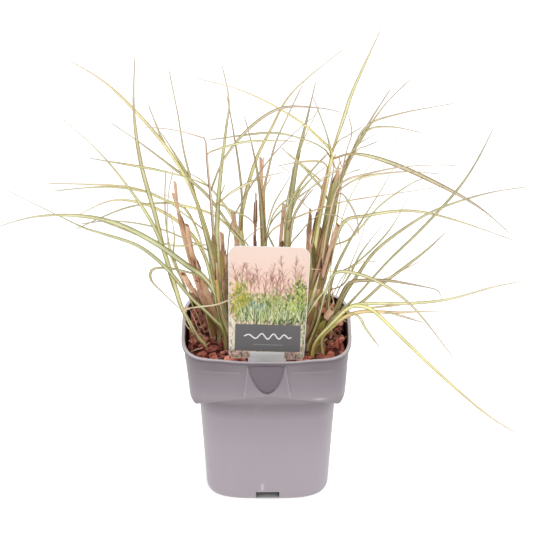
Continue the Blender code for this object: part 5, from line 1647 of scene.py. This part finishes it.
def make_mulch(draw):
    heap = Gatherer()
    stems = [(Vector(spot), half) for spot, half in feet.values()]
    inner = collar_half(BED_HEIGHT) - WALL - 0.8
    steps = int(inner / BED_GRID)
    bed = {}
    for i in range(-steps, steps + 1):
        for j in range(-steps, steps + 1):
            x, y = i * BED_GRID, j * BED_GRID
            reach = plan_share(x, y, inner)
            if reach > 1.0:
                x, y = x / reach, y / reach
            if reach < 1.05:
                lump = BED_LUMP[0] * noise.noise(Vector((x, y, 0.0)) * BED_LUMP[1])
                bed[i, j] = heap.point(Vector((x, y, bed_height(x, y) - BED_DROP + lump)), 0.5, 0.25)
    for (i, j), corner in bed.items():
        others = [bed.get((i + 1, j)), bed.get((i + 1, j + 1)), bed.get((i, j + 1))]
        if None not in others:
            spots = [(a * BED_GRID / 10, b * BED_GRID / 10)
                     for a, b in ((i, j), (i + 1, j), (i + 1, j + 1), (i, j + 1))]
            heap.face([corner] + others, bark_looks[1], spots)
    placed = 0
    for _ in range((WALL_CHIPS + CHIP_COUNT) * 4):
        if placed == WALL_CHIPS + CHIP_COUNT:
            break
        length, width = draw.uniform(*CHIP_LENGTHS), draw.uniform(*CHIP_WIDTHS)
        x, y = draw.uniform(-inner, inner), draw.uniform(-inner, inner)
        if placed < WALL_CHIPS:
            length, width = draw.uniform(*WALL_CHIP_LENGTHS), draw.uniform(*WALL_CHIP_WIDTHS)
            outward = plan_share(x, y, inner - 0.5 * width - draw.uniform(0.0, 1.5))
            x, y = x / outward, y / outward
        elif plan_share(x, y, inner - 0.42 * length) > 1.0:
            continue
        if near_label(x, y, 0.4 * length):
            continue
        gap = min((Vector((x, y)) - spot).length - half for spot, half in stems)
        if gap < STEM_CLEARANCE:
            continue
        if gap < 0.5 * length:
            length, width = max(5.0, 1.4 * gap), min(width, max(3.0, gap))
        corners, faces = chip_shape(length, width, draw.uniform(*CHIP_THICKS), draw)
        turn = chip_turn(draw)
        if placed < WALL_CHIPS:
            along_wall = math.pi / 2 if abs(x) > abs(y) else 0.0
            turn = Matrix.Rotation(along_wall + draw.gauss(0.0, 0.12), 3, "Z") @ chip_tip(draw)
        middle = Vector((x, y, bed_height(x, y) + draw.uniform(-1.5, 3.6)))
        spots = [middle + turn @ corner for corner in corners]
        top = max(spot.z for spot in spots)
        ceiling = mix(CHIP_CEILING, WATERING_CEILING, watering_share(x, y)) + bank_height(x, y)
        if top > ceiling:
            spots = [spot - Vector((0.0, 0.0, top - ceiling)) for spot in spots]
        if any(plan_share(spot.x, spot.y, inner) > 1.0 for spot in spots):
            continue
        tone = draw.uniform(0.3, 1.0)
        look = draw.choices(bark_looks, weights=(5, 3, 2))[0]
        first = len(heap.points)
        for spot in spots:
            heap.point(spot, 0.5, tone)
        offset = (draw.uniform(0, 30), draw.uniform(0, 30))
        for face in faces:
            pattern = [(corners[k].y / 10 + offset[0], corners[k].x / 10 + offset[1]) for k in face]
            heap.face([first + k for k in face], look, pattern)
        placed += 1
    print("bark chips placed:", placed)
    return heap.build("bark_chips", "pine_bark", "bark_mulch", sharp=28.0)


mulch = make_mulch(random.Random(11))
print("mulch:", len(mulch.data.polygons), "faces")

# %% [markdown]
# ## Picture label
# The label is one sheet of printed plastic, 0.8 mm thick, punched out with a rounded card above and
# a plain white stake below. The print stops just short of the card's edge. It shows a pale
# peach sky, garden green and a dark panel. The picture here is a garden of its own, and a wavy rule
# stands where a name would be. A print like this has far too many marks for shader nodes, so it is
# painted by short brush strokes into a colour per point, on a grid finer than the picture shows.

# %% Label finishes
CARD_HEIGHT = 114.6
CARD_TOP_HALF = 40.3
CARD_FOOT_HALF = 37.1
CARD_MIDDLE = -0.65
CARD_ROUNDING = 10.0
CARD_CHAMFER = 3.0
CARD_THICKNESS = 0.8
STAKE_LENGTH = 36.0
PRINT_INSET = 0.5


def print_finish():
    """Offset print under a clear gloss film: the ink is a colour per point."""
    made, tree, shader = new_material("printed_polypropylene_sheet")
    spot = add(tree, "UVMap", {"uv_map": "pattern"}).outputs["UV"]
    ink = add(tree, "VertexColor", {"layer_name": "ink"}).outputs["Color"]
    film = add(tree, "TexNoise", {"Scale": 3.0, "Detail": 3.0}, {"Vector": spot})
    faded = add(tree, "MapRange", {"To Min": 0.96, "To Max": 1.04}, {"Value": film})
    toned = add(tree, "HueSaturation", {}, {"Color": ink, "Value": faded})
    rough = add(tree, "MapRange", {"To Min": 0.26, "To Max": 0.40}, {"Value": film})
    set_up(tree, shader, {"IOR": POLYPROPYLENE_IOR}, {"Base Color": toned, "Roughness": rough})
    return made


def white_finish():
    made, tree, shader = new_material("white_polypropylene_sheet")
    place = add(tree, "TexCoord").outputs["Object"]
    specks = add(tree, "TexNoise", {"Scale": 90.0, "Detail": 5.0}, {"Vector": place})
    tint = add(tree, "ValToRGB", {"stops": [(0.35, "#F2EFEC"), (0.6, "#FCFBFA")]}, {"Fac": specks})
    set_up(tree, shader, {"Roughness": 0.38, "IOR": POLYPROPYLENE_IOR}, {"Base Color": tint})
    return made


printed = print_finish()
white_plastic = white_finish()
print("label finishes:", printed.name, white_plastic.name)

# %% Punch the label
def corner_arc(centre, radius, start, steps=10):
    for k in range(steps + 1):
        angle = math.radians(start + 90.0 * k / steps)
        yield (centre[0] + radius * math.cos(angle), centre[1] + radius * math.sin(angle))


def card_outline(inset):
    """The card's edge, drawn in by an inset, from its lower right corner round to the lower left."""
    rounding = CARD_ROUNDING - inset
    top = CARD_HEIGHT - inset
    right = CARD_MIDDLE + CARD_TOP_HALF - inset
    left = CARD_MIDDLE - CARD_TOP_HALF + inset
    foot_right = CARD_MIDDLE + CARD_FOOT_HALF - inset
    foot_left = CARD_MIDDLE - CARD_FOOT_HALF + inset
    outline = [(foot_right - CARD_CHAMFER, inset), (foot_right, CARD_CHAMFER + inset)]
    outline += corner_arc((right - rounding, top - rounding), rounding, 0.0)
    outline += corner_arc((left + rounding, top - rounding), rounding, 90.0)
    return outline + [(foot_left, CARD_CHAMFER + inset), (foot_left + CARD_CHAMFER, inset)]


# %% Paint the print
PRINT_COLUMNS, PRINT_ROWS = 160, 230
BRUSH_EDGE = 0.35
PANEL_FOOT, PANEL_TOP = 7.6, 35.2
PANEL_LEFT, PANEL_RIGHT = -32.4, 32.4
PLUMES = "#B5786A #9E5B4E #C68F80 #8E5548".split()
GRASSES = "#EEEFC8 #C8D088 #7E9A3C #48682A #DDE2B0 #2A401A".split()
BEDS = {  # how many touches, their middle and spread, length, lean, width and shades
    "far": [
        (150, (0.0, 62.0), (26.0, 4.5), (1.0, 3.0), 0.0, (1.2, 2.4), "#C9B58E #A9B47E #C79F8C #93A06A"),
    ],
    "near": [
        (700, (2.0, 54.0), (25.0, 6.0), (1.0, 3.2), 0.0, (0.9, 2.2),
         "#A2AA58 #78883C #BFC27C #56662C #DCD8A8 #8A905A"),
        (420, (31.0, 62.0), (5.5, 10.0), (1.0, 2.6), -8.0, (0.7, 1.6),
         "#6E8E30 #4A6420 #A8BE48 #2E4214 #C8D070 #D0A090"),
        (200, (27.0, 52.0), (7.0, 4.0), (1.0, 2.6), 0.0, (0.7, 1.5), "#B2CC48 #98B838 #D4E084 #667E28"),
        (400, (-28.0, 58.0), (4.6, 10.0), (1.6, 4.0), 12.0, (0.6, 1.4),
         "#C2B43C #A09226 #DCD05A #6C7A24 #8FA23A"),
        (160, (-12.0, 46.0), (6.0, 4.5), (1.5, 3.4), 0.0, (0.8, 1.8),
         "#7AA79A #5C8B80 #9CC2B4 #3F6A60"),
    ],
    "path": [
        (60, (-35.0, 24.0), (2.2, 9.0), (1.0, 3.0), 0.0, (0.7, 1.4), "#DCCDB0 #BBAA8C #F8F2E6"),
        (520, (8.0, 41.0), (22.0, 4.0), (2.0, 6.0), -4.0, (0.6, 1.2),
         "#7C8C40 #A2AE5C #4E6428 #D4D49C #2E3E18 #C4A070"),
    ],
    "front": [
        (60, (20.0, 36.0), (14.0, 1.6), (1.0, 2.5), 0.0, (0.8, 1.6), "#2E3A24 #3C4A2C #57663C"),
        (460, (0.0, 4.0), (30.0, 4.0), (1.0, 3.0), 0.0, (0.7, 1.5),
         "#9C7A72 #B98E86 #6E5450 #8FA06A #5E6B4C #D0B2AA"),
        (190, (36.0, 20.0), (1.9, 9.0), (1.0, 3.0), 0.0, (0.7, 1.4),
         "#A9B98A #7E9262 #D0D8BE #5E7A50 #C9A99E"),
    ],
}


def edge_at(outline, height, side):
    """Where an outline's left (-1) or right (1) edge lies at a height."""
    found = []
    for (ax, ay), (bx, by) in zip(outline, outline[1:] + outline[:1]):
        if ay != by and min(ay, by) <= height <= max(ay, by):
            found.append(mix(ax, bx, (height - ay) / (by - ay)))
    return max(found) if side > 0 else min(found)


class Print:
    """A grid of points over the card, and brushes that lay ink on it."""

    def __init__(self, outline):
        foot, top = min(y for _, y in outline), max(y for _, y in outline)
        heights = [mix(foot, top, row / (PRINT_ROWS - 1)) for row in range(PRINT_ROWS)]
        shares = np.linspace(0.0, 1.0, PRINT_COLUMNS)
        edges = [(edge_at(outline, y, -1), edge_at(outline, y, 1)) for y in heights]
        self.x = np.array([left + (right - left) * shares for left, right in edges])
        self.y = np.repeat(np.array(heights)[:, None], PRINT_COLUMNS, axis=1)
        self.ink = np.zeros((PRINT_ROWS, PRINT_COLUMNS, 3))

    def lay(self, cover, shade):
        self.ink += (np.array(colour(shade)[:3]) - self.ink) * cover[:, :, None]

    def stroke(self, start, end, width, shade, strength=1.0):
        """A straight touch of a round brush."""
        reach = width + 1.0
        rows = np.nonzero((self.y[:, 0] > min(start[1], end[1]) - reach)
                          & (self.y[:, 0] < max(start[1], end[1]) + reach))[0]
        if len(rows) == 0:
            return
        part = slice(rows[0], rows[-1] + 1)
        x, y = self.x[part], self.y[part]
        run, rise = end[0] - start[0], end[1] - start[1]
        along = ((x - start[0]) * run + (y - start[1]) * rise) / (run * run + rise * rise + 0.001)
        along = np.clip(along, 0.0, 1.0)
        away = np.hypot(x - start[0] - along * run, y - start[1] - along * rise)
        cover = np.clip((width / 2 - away) / BRUSH_EDGE + 0.5, 0.0, 1.0) * strength
        self.ink[part] += (np.array(colour(shade)[:3]) - self.ink[part]) * cover[:, :, None]

    def block(self, left, right, foot, top, shade):
        inside = np.minimum.reduce([self.x - left, right - self.x, self.y - foot, top - self.y])
        self.lay(np.clip(inside / BRUSH_EDGE + 0.5, 0.0, 1.0), shade)

    def plant(self, draw, beds):
        """Beds of many short strokes scattered about a middle, as leaves on a bush."""
        for count, centre, spread, length, lean, width, shades in beds:
            shades = shades.split()
            for _ in range(count):
                x = centre[0] + draw.gauss(0.0, spread[0])
                y = centre[1] + draw.gauss(0.0, spread[1])
                turn = math.radians(90.0 + lean + draw.gauss(0.0, 26.0))
                reach = draw.uniform(*length)
                end = (x + reach * math.cos(turn), y + reach * math.sin(turn))
                self.stroke((x, y), end, draw.uniform(*width), draw.choice(shades),
                            draw.uniform(0.5, 1.0))


def plume(picture, draw, foot, height, lean):
    """A flower stalk that ends in a loose fan of fine, drooping twigs."""
    spots = []
    for step in range(9):
        share = step / 8
        spots.append((foot[0] + lean * share ** 1.6, foot[1] + height * share))
    for low, high in zip(spots, spots[1:]):
        picture.stroke(low, high, 0.55, "#A86C5C", 0.75)
    for _ in range(16):
        share = draw.uniform(0.35, 0.95)
        x = foot[0] + lean * share ** 1.6
        y = foot[1] + height * share
        side = draw.choice((-1, 1))
        reach = draw.uniform(5.0, 12.0) * (1.2 - share)
        shade = draw.choice(PLUMES)
        turn = math.radians(90.0 - side * draw.uniform(10.0, 26.0) - lean)
        middle = (x + reach * math.cos(turn), y + reach * math.sin(turn))
        turn -= side * math.radians(draw.uniform(10.0, 45.0))
        tip = (middle[0] + 0.7 * reach * math.cos(turn), middle[1] + 0.7 * reach * math.sin(turn))
        picture.stroke((x, y), middle, draw.uniform(0.4, 0.7), shade, 0.7)
        picture.stroke(middle, tip, draw.uniform(0.3, 0.5), shade, 0.55)


def wave_at(share):
    """A place along the wavy rule, which swings most in its middle and faster to its end."""
    swing = 1.2 + 1.6 * math.sin(math.pi * share)
    return -23.0 + 46.0 * share, 23.0 + swing * math.sin(19.0 * share * (1.0 + 0.3 * share))


def paint_garden(outline, draw):
    picture = Print(outline)
    height = np.clip((picture.y - 60.0) / 45.0, 0.0, 1.0)[:, :, None]
    low, high = np.array(colour("#F5CEBB")[:3]), np.array(colour("#F9DED0")[:3])
    picture.ink = low + (high - low) * height
    # Far bushes first, then nearer ones over them, with the plumes between.
    picture.plant(draw, BEDS["far"])
    for number in range(15):
        foot = (-30.0 + 4.2 * number + draw.uniform(-1.5, 1.5), draw.uniform(52.0, 62.0))
        plume(picture, draw, foot, draw.uniform(26.0, 48.0), draw.uniform(-9.0, 9.0))
    picture.plant(draw, BEDS["near"])
    picture.block(-40.0, -PANEL_RIGHT, 8.0, 42.0, "#EFE3D0")
    picture.plant(draw, BEDS["path"])
    for _ in range(210):
        x, y, lean = draw.uniform(-26.0, 38.0), draw.uniform(33.0, 42.0), draw.gauss(0.0, 5.0)
        top = draw.uniform(8.0, 24.0)
        shade = draw.choice(GRASSES)
        picture.stroke((x, y), (x + 0.5 * lean, y + 0.6 * top), 0.6, shade, 0.85)
        picture.stroke((x + 0.5 * lean, y + 0.6 * top), (x + 1.3 * lean, y + top), 0.4, shade, 0.75)
    picture.plant(draw, BEDS["front"])
    picture.block(PANEL_LEFT, PANEL_RIGHT, PANEL_FOOT, PANEL_TOP, "#625F60")
    for step in range(72):
        share = step / 72
        picture.stroke(wave_at(share), wave_at(share + 1 / 72), 1.1, "#F5F2EE")
    for step in range(15):
        x = -14.0 + 2.0 * step
        picture.stroke((x, 14.5), (x + 0.9, 14.5), 0.5, "#BDB9B6", 0.8)
    picture.block(-17.0, 17.0, -2.0, 7.2, "#F2F0EE")
    return picture


def make_label():
    sheet = Gatherer()
    lean = Matrix.Rotation(math.pi / 2 - LABEL_LEAN, 4, "X")
    stake_middle = Vector((0.0, -STAKE_LENGTH / 2, 0.0))
    turn = Matrix.Translation(stake_middle) @ Matrix.Rotation(LABEL_TURN, 4, "Z")
    placing = Matrix.Translation(LABEL_FOOT) @ lean @ turn @ Matrix.Translation(-stake_middle)

    def ring(outline, depth):
        return [sheet.point(placing @ Vector((x, y, depth)), y / CARD_HEIGHT) for x, y in outline]

    half = CARD_THICKNESS / 2
    stake = [(-STAKE_HALF, 0.0), (-STAKE_HALF + 1.0, -STAKE_LENGTH),
             (STAKE_HALF - 1.0, -STAKE_LENGTH), (STAKE_HALF, 0.0)]
    edge = card_outline(0.0) + stake
    soft = 0.18  # rounding of the punched edge
    narrow = 1 - soft / STAKE_HALF
    drawn_in = card_outline(soft) + [(x * narrow, y + (soft if y < -1 else 0)) for x, y in stake]
    levels = ((drawn_in, half), (edge, half - soft), (edge, soft - half), (drawn_in, -half))
    rows = [ring(outline, level) for outline, level in levels]
    count = len(edge)
    for upper, lower in zip(rows, rows[1:]):
        for i in range(count):
            j = (i + 1) % count
            sheet.face([upper[i], upper[j], lower[j], lower[i]], white_plastic)
    sheet.face(rows[-1], white_plastic)
    inner_outline = card_outline(PRINT_INSET)
    inner = ring(inner_outline, half)
    card_count = len(inner_outline)
    for i in range(card_count - 1):
        sheet.face([rows[0][i], rows[0][i + 1], inner[i + 1], inner[i]], white_plastic)
    sheet.face([inner[-1]] + rows[0][card_count - 1:] + [rows[0][0], inner[0]], white_plastic)
    # The print fills the inner outline: its outer points lie on that outline's edges.
    picture = paint_garden(inner_outline, random.Random(77))
    first = len(sheet.points)
    for row in range(PRINT_ROWS):
        ring(zip(picture.x[row], picture.y[row]), half)
    for row in range(PRINT_ROWS - 1):
        for column in range(PRINT_COLUMNS - 1):
            low = first + row * PRINT_COLUMNS + column
            high = low + PRINT_COLUMNS
            spot = (picture.x[row, column] / 10, picture.y[row, column] / 10)
            sheet.face([low, low + 1, high + 1, high], printed, [spot] * 4)
    label = sheet.build("picture_label", "label_card", "plant_label", sharp=30.0)
    plain = label.data.materials.find(white_plastic.name)
    bm = bmesh.new()
    bm.from_mesh(label.data)
    bmesh.ops.recalc_face_normals(bm, faces=[face for face in bm.faces if face.material_index == plain])
    bm.to_mesh(label.data)
    bm.free()
    ink = np.ones((len(sheet.points), 4))
    ink[first:, :3] = picture.ink.reshape(-1, 3)
    layer = label.data.color_attributes.new("ink", "FLOAT_COLOR", "POINT")
    layer.data.foreach_set("color", ink.ravel())
    return label


label = make_label()
print("label:", len(label.data.polygons), "faces")

# %% [markdown]
# ## Fine leaves, torn sheaths and straws
# A clump carries more than its main shoots: thin side leaves, dead straws caught between the stems
# and on the mulch, and papery sheaths that come loose as the stems swell. They are too slight for
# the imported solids, so they are only here. Each is laid out like the leaves: a half width, the depth
# of its foot and of its tip, a finish, and the places that it passes on the front sheet.

# %% Thin leaves and straws
# crown, right of the label
THIN_LEAVES = table("""
1.4 18 4 olive 306,330 310,309 315,296 321,283
1.1 8 -20 pale 307,335 317,319 325,301 332,284
1.3 22 -12 olive 313,330 325,320 337,307 346,285
1.4 -20 -30 blue 306,346 316,334 326,325 346,312
1.3 -24 -44 fresh 309,349 320,336 331,327 343,321
0.9 4 -22 yellow 318,337 327,326 338,319 347,322
1.0 -2 -10 fresh 324,343 329,340 331,334 336,330
1.1 -6 -14 olive 327,344 332,341 337,338 341,331
1.0 -26 -40 bronze 305,349 313,333 317,322 320,306
1.2 -14 -34 olive 311,345 322,330 333,323 352,317
1.1 26 6 bronze 316,327 327,318 336,310 349,304
1.2 10 -6 fresh 305,334 309,322 313,311 316,299
""")
# crown, left of the label
THIN_LEAVES += table("""
1.7 -12 -40 straw 200,343 194,335 188,327 183,319
1.7 -18 -46 bronze 203,346 197,338 191,327 185,312
1.3 -10 -30 withered 208,344 200,332 195,320 190,309
1.4 0 -20 bronze 214,340 208,322 204,306 198,292
1.3 4 0 straw 220,336 216,318 213,300 212,284
1.2 -6 6 pale 226,338 222,322 217,306 209,290
1.2 8 -18 olive 228,334 219,326 212,318 203,309
1.3 20 4 fresh 224,330 219,321 216,311 210,301
1.3 14 2 olive 227,332 224,318 221,305 222,290
1.1 34 20 fresh 222,323 220,312 222,300 226,288
1.0 12 -6 bronze 219,333 214,322 208,312 203,305
""")
# rising through the clump
THIN_LEAVES += table("""
1.6 6 -10 blue 205,333 186,290 174,258 174.5,238 173,225 169,208
0.8 -4 -16 purple 316,300 327,240 333,214 338,190 341,169
1.1 -6 -24 pale 318,300 331,240 337,205 341,168
0.9 -22 -60 withered 341,168 326,176 312,187 299,198
0.8 10 -30 fresh 322,300 330,262 336,226 341,249
0.8 22 40 bronze 327,180 335,146 349,135 364,126
0.8 10 26 bronze 338,190 355,153 367,146 379,141
0.8 4 -10 bronze 336,190 344,176 352,172 361,169
0.7 30 46 pale 218,260 220,201 223,190 226,182
0.8 40 60 withered 174,262 167,232 165,200 166,168
0.8 30 44 pale 186,288 169,250 168,200 174,166
""")
# between the middle stems
THIN_LEAVES += table("""
1.3 22 34 olive 284,246 287,214 297,190 310,172 329,151
1.1 26 20 straw 329,170 322,162 300,162 278,166
1.1 24 10 blue 332,151 327,134 320,114 314,96
2.0 14 16 straw 309,262 315,236 322,206 329,168
1.8 20 22 olive 317,262 323,232 329,198 335,160
1.5 24 26 gold 322,262 328,226 334,194 340,160
1.3 10 12 fresh 330,262 335,236 338,214 342,184
1.5 30 34 fresh 247,248 236,236 224,222 211,209
1.1 26 30 pale 250,248 238,233 225,218 213,205
1.0 26 40 olive 217,203 233,211 247,217 258,227
0.9 20 24 fresh 244,242 252,234 263,226
1.1 30 34 olive 275,249 271,241 267,232
1.1 30 40 pale 280,240 286,207 291,182 293.5,164
1.0 34 44 purple 288,230 297,211 305,199 314,188
1.0 30 50 olive 320,180 306,168 294,158 280,147
0.9 -6 -40 gold 330,300 345,274 362,262 378,262
0.8 0 -18 fresh 336,296 352,262 362,236 367,214
""")
# Straws: half thickness, the depths of both ends, and where those ends are.
STRAWS = table("""
0.6 10 -26 332,286 334,304
0.55 16 -24 318,331 333,303
0.7 -30 -34 311,351 327,339
0.6 18 14 211,334 223,329
0.6 6 -16 210,345 233,333
0.5 -10 -40 334,272 311,269
1.3 -18 0 314,346 331,330
0.5 -4 -10 340,344 347,336
0.6 -30 -28 190,352 203,348
1.2 -14 -16 330.5,338 331.5,330
0.9 -46 -48 184,311 190,308.5
0.9 50 52 262,179 264,157
0.7 44 46 266,186 271,177
0.7 30 26 330,157 336,169
0.6 30 24 336,154 333,166
0.7 34 26 339,157 343,169
0.6 34 26 342,161 336,172
""")
STRAW_SAMPLES, STRAW_SIDES = 12, 7


class ThinLeaf:
    """A side leaf that counts as growing from a stem, with its centre line given."""

    stem = True
    shoot = "side_leaf"

    def __init__(self, half, start_depth, tip_depth, finish, *places):
        self.half = half
        self.finish = finish
        self.samples = smooth_line(spread(places, start_depth, tip_depth), STRAND_SAMPLES)

    def placed(self):
        return self.samples


draw = random.Random(500)
side_leaves = Clump()
for entry in THIN_LEAVES:
    side_leaves.leaf(ThinLeaf(*entry), draw)
side_leaves.build("side_leaves", "grass_leaf", sharp=60.0)

straws = Gatherer()
for half, start_depth, end_depth, start, end in STRAWS:
    middle = ((start[0] + end[0]) / 2 + draw.uniform(-1.0, 1.0), (start[1] + end[1]) / 2 - 0.6)
    points = smooth_line(spread([start, middle, end], start_depth, end_depth), STRAW_SAMPLES)
    frames = cane_frames(points)
    rings = [round_ring(point, frame, half * draw.uniform(0.8, 1.1), sides=STRAW_SIDES)
             for point, frame in zip(points, frames)]
    lengths = [(point - points[0]).length + 0.01 * k for k, point in enumerate(points)]
    around = [half * k for k in range(STRAW_SIDES + 1)]
    straws.tube(rings, around, lengths, dry_cane, tone=draw.uniform(0.6, 1.0))
straws.build("fallen_straws", "dry_cane")
print("side leaves:", len(THIN_LEAVES), "straws:", len(STRAWS))

# %% Loose sheaths on the stems
# What each sits on, the shares of its length between which it lies, and its finish.
SHEATHS = table("""
cane_14 0.50 0.80 bronze
cane_14 0.76 0.97 bronze
cane_15 0.42 0.74 olive
cane_15 0.70 0.98 pale
cane_16 0.30 0.70 straw
cane_12 0.30 0.66 bronze
cane_13 0.25 0.85 olive
cane_5 0.45 0.90 straw
cane_3 0.20 0.60 bronze
cane_6 0.35 0.80 withered
left_culm 0.22 0.36 straw
left_culm 0.36 0.47 bronze
right_culm 0.16 0.34 pale
right_purple 0.18 0.36 purple
right_tan 0.18 0.38 straw
right_purple_tip 0.20 0.42 purple
""")
SHEATH_SAMPLES = 72
sheaths = Gatherer()
for owner, first_share, last_share, look in SHEATHS:
    strand = next(s for s in strands if s.shoot == owner)
    points = smooth_line(strand.placed(), SHEATH_SAMPLES)
    top = SHEATH_SAMPLES - 1
    radii = [max(width_at(strand, k / top) * CANE_SLIM, culm_half(strand, k / top)) + 0.15
             for k in range(SHEATH_SAMPLES)]
    first, last = round(first_share * top), round(last_share * top)
    sleeve(sheaths, points, cane_frames(points), radii, first, last, draw, leaf_looks[look],
           draw.uniform(0.1, 0.7))
sheaths.build("loose_sheaths", "dry_cane", sharp=60.0)
print("sheaths:", len(SHEATHS))
